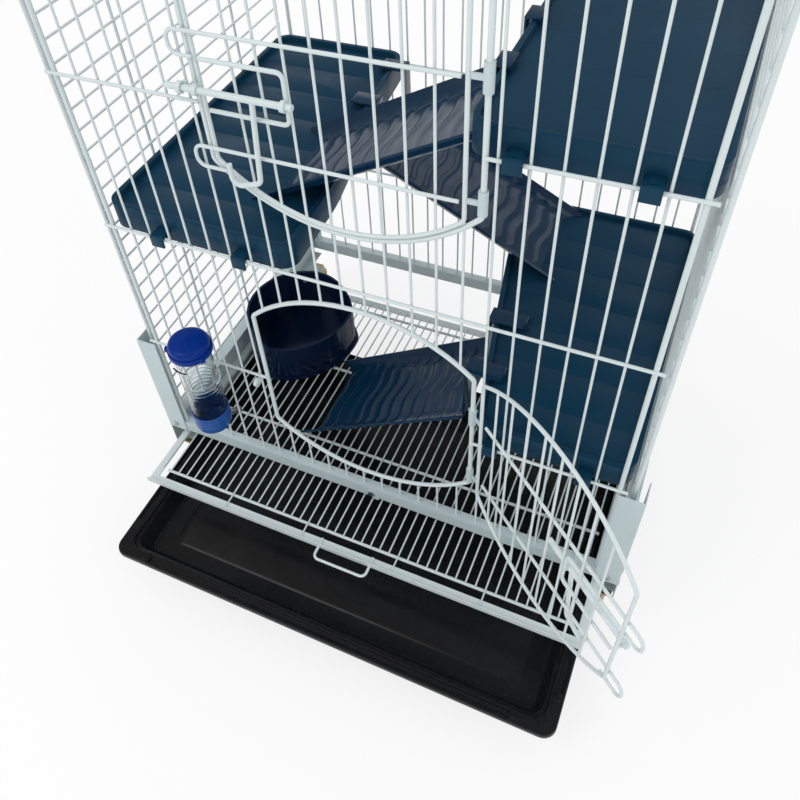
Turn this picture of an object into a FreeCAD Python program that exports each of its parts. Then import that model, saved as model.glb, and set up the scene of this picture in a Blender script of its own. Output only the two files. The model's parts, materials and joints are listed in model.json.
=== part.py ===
"""Small animal cage: a wire cage on casters with shelves, ramps, doors, a floor grate and a litter tray.

Millimetres, +Z up. The origin is the centre of the cage on the floor and the doors face -Y.
The rest pose has the lower door open and the grate and the tray pulled part way out.
"""
import FreeCAD, Part
import math
import os

Vector = FreeCAD.Vector
X_AXIS = Vector(1, 0, 0)
Y_AXIS = Vector(0, 1, 0)
Z_AXIS = Vector(0, 0, 1)
SIDES = {"left": -1, "right": 1}
ENDS = {"front": -1, "back": 1}

# Clearances
running_clearance = 0.05
free_clearance = 0.3
weld_sink = 0.3
cut_overrun = 1.0

# Wires and sheet
wire_radius = 1.3
bar_radius = 1.75
edge_radius = 2.5
sheet = 1.2

# Wire cage
wire_pitch = 25.0
front_wire_count = 24
cage_depth = 415.0
corner_gap = 15.0
bar_overhang = 8.5
roof_height = 864.5
lower_level = 279.4
middle_level = 465.4
upper_level = 646.0
top_bar_drop = 12.0
side_row_pitch = 24.0
side_post_count = 5
side_post_inset = 6.5
roof_bar_count = 5
roof_corner = 12.0

# Rails and corner posts
rail_top = 117.0
rail_height = 19.0
rail_depth = 12.0
side_rail_width = 16.5
side_rail_gap = 1.0
grate_ledge_height = 88.7
grate_ledge_width = 13.0
tray_ledge_height = 56.0
tray_ledge_width = 30.0
post_flange = 28.0
post_height = 160.0
post_leg = 44.0
screw_head_radius = 4.0
screw_head_height = 2.4
screw_radius = 2.0
screw_length = 6.0
front_screw_inset = 11.0
side_screw_inset = 19.0
side_screw_drops = (15.0, 47.0)

# Doors, given for the lower door
jamb_half_width = 127.5
jamb_bend = 8.0
arch_radius = 177.5
top_arch_centre = 258.5
bottom_arch_centre = 322.5
door_shift = 388.0
door_forward = 1.3
door_frame_radius = 2.0
door_gap = 5.5
hinge_edge_gap = 15.0
door_wire_count = 8
door_bar_heights = (214.0, 323.0)
door_bar_inset = 4.0
stop_loop_overhang = 15.5
stop_loop_height = 22.0
stop_loop_bend = 9.0
lower_door_angle = 140.0
clip_height = 24.0
clip_web_height = 5.0
clip_wall = 1.7

# Door bolts
bolt_height = 274.0
bolt_radius = 3.0
bolt_overhang = 24.0
bolt_length = 121.0
bolt_travel = 24.0
eye_wall = 2.0
eye_length = 4.0
eye_gap = 0.4
keeper_clearance = 0.5
keeper_wire_index = 6
lug_half_width = 2.0
bracket_radius = 2.0
bracket_bend = 6.0
bracket_top = 26.0
bracket_bottom = 21.0
bracket_length = 83.5
bracket_edge_gap = 6.0
handle_radius = 2.5
handle_inset = 54.0
handle_drop = 84.0
handle_slant = 7.0
handle_hook_reach = 30.0
handle_hook_drop = 10.0
handle_hook_rise = 14.0
handle_bend = 8.0

# Floor grate
grate_out = 88.0
grate_gap = 0.3
grate_strip_width = 10.0
grate_strip_height = 1.7
grate_bar_width = 12.0
grate_lip_height = 7.5
grate_lip_thickness = 1.5
grate_wire_radius = 1.05
grate_pitch = 12.5
grate_wire_count = 47
grate_cross_radius = 2.0
grate_cross_pitch = 125.0
grate_cross_count = 4
grate_cross_trim = 4.5
grate_front_gap = 25.0
grate_rear_gap = 12.0
grate_long_wires = (9, 18, 28, 37)
handle_half_width = 35.0
handle_reach = 16.0
grate_handle_bend = 7.0

# Litter tray
tray_out = 184.0
tray_length = 425.0
tray_half_width = 293.5
tray_wall = 2.5
tray_rim_height = 4.0
tray_rim_width = 20.0
tray_slope = 9.0
tray_depth = 30.0
tray_corner = 16.0
tray_ridge_height = 3.0
tray_ridge_width = 4.0
tray_ledge_gap = 0.3
tray_nub_radius = 5.0
tray_nub_height = 3.5

# Swing catch
catch_thickness = 1.5
catch_length = 13.5
catch_half_width = 5.0
catch_pivot_drop = 9.5
catch_rest_angle = 45.0
rivet_radius = 2.5
rivet_head_radius = 4.5
rivet_head_height = 1.5

# Casters
caster_inset_x = 14.0
caster_inset_y = 17.5
caster_plate_half = 12.5
caster_plate_thickness = 2.0
caster_stem_radius = 4.0
caster_stem_length = 9.0
wheel_radius = 21.0
wheel_width = 13.0
caster_trail = 12.0
axle_radius = 3.0
fork_gap = 1.0
fork_wall = 2.0
fork_bridge = 4.0
fork_half_length = 11.0
fork_end_radius = 7.0
fork_top_gap = 0.5
wheel_edge = 3.0

# Platforms
platform_side_gap = 4.0
platform_end_gap = 8.0
platform_rise = 18.0
platform_lip = 5.0
platform_lip_width = 6.0
platform_drop = 8.0
platform_wall = 3.0
platform_deck = 3.0
platform_corner = 18.0
left_platform_widths = (226.0, 221.0, 194.0, 182.0)
left_platform_depth_shares = (0.0, 0.2875, 0.66, 1.0)
upper_platform_width = 188.0
lower_platform_widths = (168.0, 194.0, 221.0, 223.0)
lower_platform_depth_shares = (0.0, 0.34, 0.7125, 1.0)
clip_half_width = 8.0
clip_bar_height = 4.0
clip_bar_thickness = 2.5
clip_bar_drop = 8.0
left_clip_steps = (-9, -5)
right_clip_steps = (6, 10)

# Ramps
ramp_width = 138.0
ramp_wall = 3.0
ramp_wall_rise = 15.0
ramp_wall_drop = 5.0
ramp_tread = 3.0
ramp_ridge = 2.2
ramp_ridge_count = 13
ridge_crest_share = 0.5
ramp_hook_gap = 3.0
ramp_hook_inset = 14.0
ramp_hook_tip = 3.0
lower_ramp_run = 212.0
lower_ramp_rise = 134.4
lower_ramp_edge = 95.5
lower_ramp_start = 55.5
lower_ramp_hook = 42.0
middle_ramp_edge = 98.0
middle_ramp_hook = 30.0
middle_ramp_run = 222.0
middle_ramp_rise = 117.0
middle_ramp_start = 257.5
upper_ramp_run = 233.0
upper_ramp_rise = 124.5
upper_ramp_start = 73.5

# Food bowl
bowl_x = -208.0
bowl_y = -3.0
bowl_radius = 78.0
bowl_front = 45.0
bowl_bulge = 16.0
bowl_corner = 14.0
bowl_wall = 3.5
bowl_floor = 4.0
bowl_front_height = 62.0
bowl_back_height = 84.0
bowl_foot = 4.0
bowl_foot_height = 4.0
bowl_turn = 55.0
bowl_hole_radius = 3.0
bowl_hole_drop = 20.0
bowl_hole_angle = 32.0

# Drinking bottle
bottle_step = -8
bottle_gap = 10.0
bottle_bottom = 198.0
bottle_height = 153.0
tube_radius = 22.0
tube_wall = 1.5
cup_wall = 1.5
cup_height = 30.0
cup_floor = 3.0
cap_wall = 4.0
cap_height = 19.0
spout_height = 8.0
spout_radius = 4.5
spout_reach = 25.0
spout_drop = 42.0
spout_bore = 3.3
spout_bore_depth = 8.0
ball_set_back = 2.0
hanger_radius = 1.2
hanger_wrap = 180.0
hanger_hook_half = 7.0
hanger_hook_drop = 11.0
hanger_bend = 3.0

# Places worked out from the sizes above
front_half = (front_wire_count - 1) / 2 * wire_pitch
side_plane = front_half + corner_gap
front_plane = -cage_depth / 2
bar_plane = front_plane - (wire_radius + bar_radius - weld_sink)
wire_top = roof_height - edge_radius
rail_face = cage_depth / 2 + rail_depth / 2
rail_end = cage_depth / 2 - rail_depth / 2
rail_bottom = rail_top - rail_height
ledge_wall = side_plane - edge_radius - sheet - side_rail_gap
outer_wall = ledge_wall + side_rail_width
door_plane = front_plane - door_forward
door_arch = arch_radius - door_gap
door_free = -(jamb_half_width - door_gap)
door_hinge = jamb_half_width - hinge_edge_gap
door_bar_plane = door_plane - (door_frame_radius + bar_radius - weld_sink)
bracket_plane = door_plane - (wire_radius + bracket_radius - weld_sink)
eye_bore = bolt_radius + running_clearance
bolt_plane = bracket_plane - (bracket_radius + eye_bore + eye_gap)
keeper_x = (keeper_wire_index - (front_wire_count - 1) / 2) * wire_pitch
hinge_point = Vector(jamb_half_width, front_plane, 0)
grate_bottom = grate_ledge_height + grate_gap
grate_wire_height = grate_bottom + grate_strip_height + grate_wire_radius - weld_sink
grate_top = grate_wire_height + grate_wire_radius
grate_half = ledge_wall - sheet
tray_top = tray_ledge_height + tray_ledge_gap + tray_rim_height
caster_top = tray_ledge_height - sheet
platform_half = side_plane - platform_side_gap - bar_radius
platform_end = cage_depth / 2 - platform_end_gap
deck_lift = platform_rise + free_clearance
rim_lift = platform_rise + platform_lip + free_clearance
bottle_x = bottle_step * wire_pitch
bottle_y = bar_plane - bar_radius - bottle_gap - tube_radius + cup_wall
cup_radius = tube_radius + running_clearance + cup_wall


def rod(start, end, radius):
    along = end - start
    return Part.makeCylinder(radius, along.Length, start, along)


def block(low, high):
    size = high - low
    return Part.makeBox(size.x, size.y, size.z, low)


def joined(shapes):
    whole = shapes[0].multiFuse(shapes[1:])
    return whole.Solids[0] if len(whole.Solids) == 1 else whole


def group(shapes):
    return Part.makeCompound(shapes)


def arc(start, middle, end):
    return Part.Arc(start, middle, end).toShape()


def bent_path(points, bend):
    """Straight runs through the points, joined by tangent arcs of one radius."""
    edges = []
    start = points[0]
    for before, corner, after in zip(points, points[1:], points[2:]):
        toward = (before - corner).normalize()
        away = (after - corner).normalize()
        half = toward.getAngle(away) / 2
        leave = corner + toward * (bend / math.tan(half))
        arrive = corner + away * (bend / math.tan(half))
        middle_way = (toward + away).normalize()
        middle = corner + middle_way * (bend / math.sin(half) - bend)
        edges.append(Part.makeLine(start, leave))
        edges.append(arc(leave, middle, arrive))
        start = arrive
    edges.append(Part.makeLine(start, points[-1]))
    return Part.Wire(edges)


def rounded_outline(points, bend):
    """Closed outline through the points, with every corner rounded alike."""
    middle = (points[0] + points[1]) / 2
    return bent_path([middle] + points[1:] + [points[0], middle], bend)


def swept(path, radius):
    first = path.Edges[0]
    start = first.valueAt(first.FirstParameter)
    along = first.tangentAt(first.FirstParameter)
    ring = Part.Wire([Part.makeCircle(radius, start, along)])
    return path.makePipeShell([ring], True, False)


def plate(points, depth):
    """Flat plate from a closed run of points, pushed out along a vector."""
    return Part.Face(Part.makePolygon(points + [points[0]])).extrude(depth)


def ring_x(x, y, z, bore, wall, length):
    """Short tube lying along X, centred on the point."""
    start = Vector(x - length / 2, y, z)
    outer = Part.makeCylinder(bore + wall, length, start, X_AXIS)
    return outer.cut(Part.makeCylinder(bore, length, start, X_AXIS))


def mirrored_x(shape):
    return shape.mirror(Vector(0, 0, 0), X_AXIS)


def mirrored_y(shape):
    return shape.mirror(Vector(0, 0, 0), Y_AXIS)


def arched_loop(left, right, arch, bend, plane, lift):
    """Closed loop with straight sides, an arched top and bottom and rounded corners."""
    def corner(side, centre, way):
        inset = side - math.copysign(bend, side)
        rise = math.sqrt((arch - bend) ** 2 - inset ** 2)
        hub = Vector(inset, plane, centre + way * rise)
        out = (hub - Vector(0, plane, centre)).normalize()
        across = Vector(math.copysign(1, side), 0, 0)
        return hub + across * bend, hub + (across + out).normalize() * bend, hub + out * bend

    top_centre = top_arch_centre + lift
    bottom_centre = bottom_arch_centre + lift
    top_left = corner(left, top_centre, 1)
    top_right = corner(right, top_centre, 1)
    low_right = corner(right, bottom_centre, -1)
    low_left = corner(left, bottom_centre, -1)
    top = Vector(0, plane, top_centre + arch)
    bottom = Vector(0, plane, bottom_centre - arch)
    return Part.Wire([
        Part.makeLine(low_left[0], top_left[0]),
        arc(*top_left),
        arc(top_left[2], top, top_right[2]),
        arc(*reversed(top_right)),
        Part.makeLine(top_right[0], low_right[0]),
        arc(*low_right),
        arc(low_right[2], bottom, low_left[2]),
        arc(*reversed(low_left)),
    ])


def arch_height(x, arch):
    return math.sqrt(arch ** 2 - x ** 2)


def front_wire_spans(x):
    """Heights between which one upright of the front panel runs, broken at the doorways."""
    if abs(x) > jamb_half_width:
        return [(rail_top, wire_top)]
    rise = arch_height(x, arch_radius)
    marks = [rail_top]
    for lift in (0, door_shift):
        marks += [bottom_arch_centre + lift - rise, top_arch_centre + lift + rise]
    marks.append(wire_top)
    return list(zip(marks[0::2], marks[1::2]))


def keeper(lift):
    """Wire eye that the bolt shoots into, on a lug from one of the panel's uprights."""
    bore = bolt_radius + keeper_clearance
    height = bolt_height + lift
    eye = ring_x(keeper_x, bolt_plane, height, bore, eye_wall, eye_length)
    low = Vector(keeper_x - lug_half_width, bolt_plane + bore, height - lug_half_width)
    high = Vector(keeper_x + lug_half_width, front_plane, height + lug_half_width)
    lug = block(low, high)
    return [eye, lug]


def front_panel():
    shapes = []
    for index in range(front_wire_count):
        x = index * wire_pitch - front_half
        radius = edge_radius if index in (0, front_wire_count - 1) else wire_radius
        for low, high in front_wire_spans(x):
            shapes.append(rod(Vector(x, front_plane, low), Vector(x, front_plane, high), radius))
    for lift in (0, door_shift):
        loop = arched_loop(-jamb_half_width, jamb_half_width, arch_radius, jamb_bend, front_plane, lift)
        shapes.append(swept(loop, edge_radius))
        shapes += keeper(lift)
    reach = front_half + bar_overhang
    for height in (middle_level, wire_top - top_bar_drop):
        shapes.append(rod(Vector(-reach, bar_plane, height), Vector(reach, bar_plane, height), bar_radius))
    for height in (lower_level, upper_level):
        for side in SIDES.values():
            start = Vector(side * jamb_half_width, bar_plane, height)
            shapes.append(rod(start, Vector(side * reach, bar_plane, height), bar_radius))
    return joined(shapes)


def back_panel():
    shapes = []
    for index in range(front_wire_count):
        x = index * wire_pitch - front_half
        radius = edge_radius if index in (0, front_wire_count - 1) else wire_radius
        shapes.append(rod(Vector(x, -front_plane, rail_top), Vector(x, -front_plane, wire_top), radius))
    reach = front_half + bar_overhang
    for height in (lower_level, middle_level, upper_level, wire_top - top_bar_drop):
        shapes.append(rod(Vector(-reach, -bar_plane, height), Vector(reach, -bar_plane, height), bar_radius))
    return joined(shapes)


def right_panel():
    shapes = []
    reach = cage_depth / 2 - side_post_inset
    row_plane = side_plane - (wire_radius + bar_radius - weld_sink)
    for index in range(side_post_count):
        y = -reach + index * 2 * reach / (side_post_count - 1)
        radius = edge_radius if index in (0, side_post_count - 1) else bar_radius
        shapes.append(rod(Vector(side_plane, y, rail_top), Vector(side_plane, y, wire_top), radius))
    height = rail_top + side_row_pitch
    while height < wire_top:
        shapes.append(rod(Vector(row_plane, -reach, height), Vector(row_plane, reach, height), wire_radius))
        height += side_row_pitch
    return joined(shapes)


def roof_panel():
    half_depth = cage_depth / 2
    corners = [Vector(-side_plane, -half_depth, roof_height), Vector(side_plane, -half_depth, roof_height),
               Vector(side_plane, half_depth, roof_height), Vector(-side_plane, half_depth, roof_height)]
    shapes = [swept(rounded_outline(corners, roof_corner), edge_radius)]
    for index in range(front_wire_count):
        x = index * wire_pitch - front_half
        shapes.append(rod(Vector(x, -half_depth, roof_height), Vector(x, half_depth, roof_height),
                          wire_radius))
    cross_height = roof_height + wire_radius + bar_radius - weld_sink
    for index in range(1, roof_bar_count - 1):
        y = -half_depth + index * cage_depth / (roof_bar_count - 1)
        shapes.append(rod(Vector(-front_half, y, cross_height), Vector(front_half, y, cross_height),
                          bar_radius))
    return joined(shapes)


def screw_places(side, end):
    """Outer points and outward ways of the three screws in one corner post."""
    face = rail_face + sheet
    places = [(Vector(side * (outer_wall - front_screw_inset), end * face, rail_top - rail_height / 2),
               Vector(0, end, 0))]
    for drop in side_screw_drops:
        point = Vector(side * (outer_wall + sheet), end * (face - side_screw_inset), rail_top - drop)
        places.append((point, Vector(side, 0, 0)))
    return places


def screw_drills():
    drills = []
    for side in SIDES.values():
        for end in ENDS.values():
            for point, out in screw_places(side, end):
                start = point + out * cut_overrun
                drills.append(rod(start, point - out * screw_length, screw_radius + running_clearance))
    return drills


def post_screws():
    screws = []
    for side in SIDES.values():
        for end in ENDS.values():
            for point, out in screw_places(side, end):
                head = rod(point, point + out * screw_head_height, screw_head_radius)
                shank = rod(point, point - out * screw_length, screw_radius)
                screws.append(joined([head, shank]))
    return group(screws)


def corner_post(side, end):
    face = rail_face + sheet
    outer = outer_wall + sheet
    top = rail_top + post_height
    front = block(Vector(outer - post_flange, -face, rail_bottom), Vector(outer, -rail_face, top))
    flank = block(Vector(outer_wall, -face, rail_bottom - post_leg), Vector(outer, post_flange - face, top))
    post = joined([front, flank])
    post = mirrored_x(post) if side < 0 else post
    post = mirrored_y(post) if end > 0 else post
    return post.cut(screw_drills())


def end_rail(end):
    shell = block(Vector(-outer_wall, -rail_face, rail_bottom), Vector(outer_wall, -rail_end, rail_top))
    hollow_low = Vector(-outer_wall, -rail_face + sheet, rail_bottom - cut_overrun)
    hollow = block(hollow_low, Vector(outer_wall, -rail_end - sheet, rail_top - sheet))
    rail = shell.cut(hollow)
    if end > 0:
        return mirrored_y(rail).cut(screw_drills())
    pivot = catch_pivot()
    drill = rod(pivot - Y_AXIS * cut_overrun, pivot + Y_AXIS * rail_depth / 2,
                rivet_radius + running_clearance)
    return rail.cut(screw_drills() + [drill])


def right_rail():
    """Folded side rail: grate ledge, inner wall, top, outer wall and tray ledge."""
    y = -rail_end
    profile = [
        Vector(ledge_wall - grate_ledge_width, y, grate_ledge_height),
        Vector(ledge_wall, y, grate_ledge_height),
        Vector(ledge_wall, y, rail_top),
        Vector(outer_wall, y, rail_top),
        Vector(outer_wall, y, caster_top),
        Vector(outer_wall - tray_ledge_width, y, caster_top),
        Vector(outer_wall - tray_ledge_width, y, tray_ledge_height),
        Vector(outer_wall - sheet, y, tray_ledge_height),
        Vector(outer_wall - sheet, y, rail_top - sheet),
        Vector(ledge_wall + sheet, y, rail_top - sheet),
        Vector(ledge_wall + sheet, y, grate_ledge_height - sheet),
        Vector(ledge_wall - grate_ledge_width, y, grate_ledge_height - sheet),
    ]
    return plate(profile, Y_AXIS * 2 * rail_end).cut(screw_drills())


def door_wires(lift):
    outline = arched_loop(door_free, door_hinge, door_arch, jamb_bend, door_plane, lift)
    shapes = [swept(outline, door_frame_radius)]
    for index in range(door_wire_count):
        x = (index - (door_wire_count - 1) / 2) * wire_pitch
        rise = arch_height(x, door_arch)
        low = Vector(x, door_plane, bottom_arch_centre + lift - rise)
        high = Vector(x, door_plane, top_arch_centre + lift + rise)
        shapes.append(rod(low, high, wire_radius))
    tip = -(jamb_half_width + stop_loop_overhang)
    for bar_height in door_bar_heights:
        height = bar_height + lift
        low = height - stop_loop_height
        rise = bottom_arch_centre + lift - low
        end = max(door_free, -math.sqrt(max(0, door_arch ** 2 - rise ** 2)))
        path = bent_path([
            Vector(door_hinge - door_bar_inset, door_bar_plane, height),
            Vector(tip, door_bar_plane, height),
            Vector(tip, door_bar_plane, low),
            Vector(end, door_bar_plane, low),
        ], stop_loop_bend)
        shapes.append(swept(path, bar_radius))
    return shapes


def latch_bracket(lift):
    """Bent wire bracket on the door with the two eyes that carry the bolt."""
    height = bolt_height + lift
    start = door_free + bracket_edge_gap
    bight = door_free + bracket_length
    path = bent_path([
        Vector(start, bracket_plane, height + bracket_top),
        Vector(bight, bracket_plane, height + bracket_top),
        Vector(bight, bracket_plane, height - bracket_bottom),
        Vector(start, bracket_plane, height - bracket_bottom),
    ], bracket_bend)
    eyes = [ring_x(x, bolt_plane, height, eye_bore, eye_wall, eye_length) for x in (bight, door_free)]
    low = Vector(door_free - lug_half_width, bolt_plane + eye_bore, height - lug_half_width)
    high = Vector(door_free + lug_half_width, door_plane, height + lug_half_width)
    return [swept(path, bracket_radius), block(low, high)] + eyes


def door(lift):
    return joined(door_wires(lift) + latch_bracket(lift))


def hinge_clips(lift):
    """Rolled sheet sleeves that turn on the jamb, each with a narrow tab to the door's hinge wire."""
    clips = []
    jamb_bore = edge_radius + running_clearance
    for bar_height in door_bar_heights:
        low = bar_height + lift - clip_height / 2
        rise = Z_AXIS * clip_height
        jamb = Vector(jamb_half_width, front_plane, low)
        middle = bar_height + lift
        near = Vector(door_hinge + door_frame_radius + running_clearance, door_plane - clip_wall / 2,
                      middle - clip_web_height / 2)
        tab = block(near, Vector(jamb_half_width, door_plane + clip_wall / 2, middle + clip_web_height / 2))
        sleeve = joined([rod(jamb, jamb + rise, jamb_bore + clip_wall), tab])
        clips.append(sleeve.cut(rod(jamb, jamb + rise, jamb_bore)))
    return group(clips)


def bolt(lift):
    height = bolt_height + lift
    tip = -(jamb_half_width + bolt_overhang)
    start = tip + bolt_length
    grip = door_free + handle_inset
    low = height - handle_drop
    bar = rod(Vector(tip, bolt_plane, height), Vector(start, bolt_plane, height), bolt_radius)
    handle = swept(bent_path([
        Vector(grip, bolt_plane, height),
        Vector(grip - handle_slant, bolt_plane, low),
        Vector(grip - handle_slant - handle_hook_reach, bolt_plane, low - handle_hook_drop),
        Vector(grip - handle_slant - handle_hook_reach, bolt_plane, low + handle_hook_rise),
    ], handle_bend), handle_radius)
    return joined([bar, handle])


def opened(shape):
    """The lower door's pieces, turned about the hinge to their open rest pose."""
    turned = shape.copy()
    turned.rotate(hinge_point, Z_AXIS, lower_door_angle)
    return turned


def grate():
    shapes = []
    y_front = -rail_face - grate_out
    y_first = y_front + grate_front_gap
    y_last = y_first + grate_cross_pitch * (grate_cross_count - 1)
    y_back = y_last + grate_rear_gap + grate_bar_width
    strip_top = grate_bottom + grate_strip_height
    for low, high in ((y_front, y_front + grate_bar_width), (y_back - grate_bar_width, y_back)):
        shapes.append(block(Vector(-grate_half, low, grate_bottom), Vector(grate_half, high, strip_top)))
    lip_high = Vector(grate_half, y_front + grate_lip_thickness, grate_bottom + grate_lip_height)
    shapes.append(block(Vector(-grate_half, y_front, grate_bottom), lip_high))
    for side in SIDES.values():
        inner = side * (grate_half - grate_strip_width)
        ends = sorted((inner, side * grate_half))
        shapes.append(block(Vector(ends[0], y_front, grate_bottom), Vector(ends[1], y_back, strip_top)))
    wire_half = (grate_wire_count - 1) / 2 * grate_pitch
    for index in range(grate_wire_count):
        x = index * grate_pitch - wire_half
        start = y_front + grate_lip_thickness if index in grate_long_wires else y_first
        end = y_back - grate_bar_width / 2
        shapes.append(rod(Vector(x, start, grate_wire_height), Vector(x, end, grate_wire_height),
                          grate_wire_radius))
    cross_height = grate_wire_height - (grate_wire_radius + grate_cross_radius - weld_sink)
    cross_half = ledge_wall - grate_ledge_width - grate_cross_trim
    for index in range(grate_cross_count):
        y = y_first + index * grate_cross_pitch
        shapes.append(rod(Vector(-cross_half, y, cross_height), Vector(cross_half, y, cross_height),
                          grate_cross_radius))
    handle = bent_path([
        Vector(-handle_half_width, y_front + grate_bar_width, grate_wire_height),
        Vector(-handle_half_width, y_front - handle_reach, grate_wire_height),
        Vector(handle_half_width, y_front - handle_reach, grate_wire_height),
        Vector(handle_half_width, y_front + grate_bar_width, grate_wire_height),
    ], grate_handle_bend)
    shapes.append(swept(handle, bar_radius))
    return joined(shapes)


def rectangle(half_width, low, high, height, bend):
    corners = [Vector(-half_width, low, height), Vector(half_width, low, height),
               Vector(half_width, high, height), Vector(-half_width, high, height)]
    return rounded_outline(corners, bend)


def prism(outline, depth):
    return Part.Face(outline).extrude(Z_AXIS * depth)


def tray():
    front = -rail_face - tray_out
    back = front + tray_length
    rim_low = tray_top - tray_rim_height
    floor_low = tray_top - tray_depth

    def walls(inset):
        top = rectangle(tray_half_width - tray_rim_width - inset, front + tray_rim_width + inset,
                        back - tray_rim_width - inset, tray_top, tray_corner - inset)
        shift = tray_slope + inset
        low = rectangle(tray_half_width - tray_rim_width - shift, front + tray_rim_width + shift,
                        back - tray_rim_width - shift, floor_low + inset, tray_corner - inset)
        return Part.makeLoft([low, top], True, True)

    rim = prism(rectangle(tray_half_width, front, back, rim_low, tray_corner), tray_rim_height)
    ridge_outer = rectangle(tray_half_width, front, back, tray_top, tray_corner)
    ridge_inner = rectangle(tray_half_width - tray_ridge_width, front + tray_ridge_width,
                            back - tray_ridge_width, tray_top, tray_corner - tray_ridge_width)
    ridge = prism(ridge_outer, tray_ridge_height).cut(prism(ridge_inner, tray_ridge_height))
    solid = joined([rim, ridge, walls(0)])
    inside = walls(tray_wall)
    for x in (-1, 1):
        for y in (front + tray_rim_width / 2, back - tray_rim_width / 2):
            base = Vector(x * (tray_half_width - tray_rim_width / 2), y, rim_low)
            nub = rod(base, base + Z_AXIS * (tray_rim_height + tray_nub_height), tray_nub_radius)
            solid = joined([solid, nub])
    return solid.cut(inside)


def catch_pivot():
    return Vector(0, -rail_face, rail_top - catch_pivot_drop)


def swing_catch():
    pivot = catch_pivot() - Y_AXIS * free_clearance
    depth = Y_AXIS * -catch_thickness
    end = pivot + X_AXIS * (catch_length - catch_half_width)
    low = Vector(pivot.x, pivot.y - catch_thickness, pivot.z - catch_half_width)
    middle = block(low, Vector(end.x, pivot.y, pivot.z + catch_half_width))
    tab = joined([rod(pivot, pivot + depth, catch_half_width), rod(end, end + depth, catch_half_width),
                  middle])
    shape = tab.cut(rod(pivot, pivot + depth, rivet_radius + running_clearance))
    shape.rotate(pivot, Y_AXIS, catch_rest_angle)
    return shape


def catch_rivet():
    pivot = catch_pivot()
    head_start = pivot - Y_AXIS * (catch_thickness + 2 * free_clearance)
    head = rod(head_start, head_start - Y_AXIS * rivet_head_height, rivet_head_radius)
    return joined([head, rod(head_start, pivot + Y_AXIS * rail_depth / 2, rivet_radius)])


def caster_place(side, end):
    return Vector(side * (outer_wall - caster_inset_x), end * (rail_face - caster_inset_y), 0)


def caster_plate(place):
    high = Vector(place.x + caster_plate_half, place.y + caster_plate_half, caster_top)
    low = Vector(place.x - caster_plate_half, place.y - caster_plate_half,
                 caster_top - caster_plate_thickness)
    stem_top = place + Z_AXIS * (caster_top - caster_plate_thickness)
    stem = rod(stem_top, stem_top - Z_AXIS * caster_stem_length, caster_stem_radius)
    return joined([block(low, high), stem])


def caster_fork(place):
    """Swivel fork: a bridge bored for the stem and two cheeks that carry the axle."""
    top = caster_top - caster_plate_thickness - fork_top_gap
    inner = wheel_width / 2 + fork_gap
    outer = inner + fork_wall
    bridge_low = Vector(place.x - outer, place.y - fork_half_length, top - fork_bridge)
    shapes = [block(bridge_low, Vector(place.x + outer, place.y + fork_half_length, top))]
    axle = Vector(place.x, place.y + caster_trail, wheel_radius)
    for side in SIDES.values():
        start = place.x + side * inner
        points = [Vector(start, place.y - fork_half_length, top),
                  Vector(start, place.y + fork_half_length, top),
                  Vector(start, axle.y + fork_end_radius, axle.z),
                  Vector(start, axle.y + fork_end_radius / 2, axle.z - fork_end_radius),
                  Vector(start, axle.y - fork_end_radius / 2, axle.z - fork_end_radius),
                  Vector(start, place.y - fork_half_length, top - fork_bridge)]
        shapes.append(plate(points, X_AXIS * side * fork_wall))
    stem = rod(place, place + Z_AXIS * caster_top, caster_stem_radius + running_clearance)
    bore = rod(axle - X_AXIS * 2 * outer, axle + X_AXIS * 2 * outer, axle_radius + running_clearance)
    return joined(shapes).cut([stem, bore])


def caster_axle(place):
    axle = Vector(place.x, place.y + caster_trail, wheel_radius)
    reach = X_AXIS * (wheel_width / 2 + fork_gap + fork_wall)
    return rod(axle - reach, axle + reach, axle_radius)


def caster_wheel(place):
    axle = Vector(place.x, place.y + caster_trail, wheel_radius)
    half = X_AXIS * (wheel_width / 2)
    tyre = rod(axle - half, axle + half, wheel_radius)
    rims = [edge for edge in tyre.Edges if abs(edge.Length - 2 * math.pi * wheel_radius) < free_clearance]
    tyre = tyre.makeFillet(wheel_edge, rims)
    return tyre.cut(rod(axle - half * 2, axle + half * 2, axle_radius + running_clearance))


def wire_clip(x, level):
    """Hook that carries a platform's front edge on a wire of the front panel."""
    bar_top = level + bar_radius + free_clearance
    outer = bar_plane - bar_radius - free_clearance - clip_bar_thickness
    inner = -platform_end
    over = block(Vector(x - clip_half_width, outer, bar_top),
                 Vector(x + clip_half_width, inner, bar_top + clip_bar_height))
    down = block(Vector(x - clip_half_width, outer, level - clip_bar_drop),
                 Vector(x + clip_half_width, outer + clip_bar_thickness, bar_top))
    return [over, down]


def platform(points, level, clip_steps):
    """Moulded shelf: a deck with a low lip round it and a hollow skirt beneath."""
    bottom = level - platform_drop
    deck = level + platform_rise
    outline = rounded_outline([Vector(x, y, bottom) for x, y in points], platform_corner)
    body = prism(outline, deck + platform_lip - bottom)
    recess = prism(outline.makeOffset2D(-platform_lip_width), platform_lip)
    recess.translate(Z_AXIS * (deck - bottom))
    under = prism(outline.makeOffset2D(-platform_wall), deck - platform_deck - bottom)
    shell = body.cut([recess, under])
    clips = []
    for step in clip_steps:
        clips += wire_clip(step * wire_pitch, level)
    return joined([shell] + clips)


def left_platform():
    points = [(-platform_half, -platform_end)]
    for width, share in zip(left_platform_widths, left_platform_depth_shares):
        points.append((width - platform_half, -platform_end + share * 2 * platform_end))
    points.append((-platform_half, platform_end))
    return platform(points, middle_level, left_clip_steps)


def lower_platform():
    points = []
    for width, share in zip(lower_platform_widths, lower_platform_depth_shares):
        points.append((platform_half - width, -platform_end + share * 2 * platform_end))
    points += [(platform_half, platform_end), (platform_half, -platform_end)]
    points.reverse()
    return platform(points, lower_level, right_clip_steps)


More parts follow.
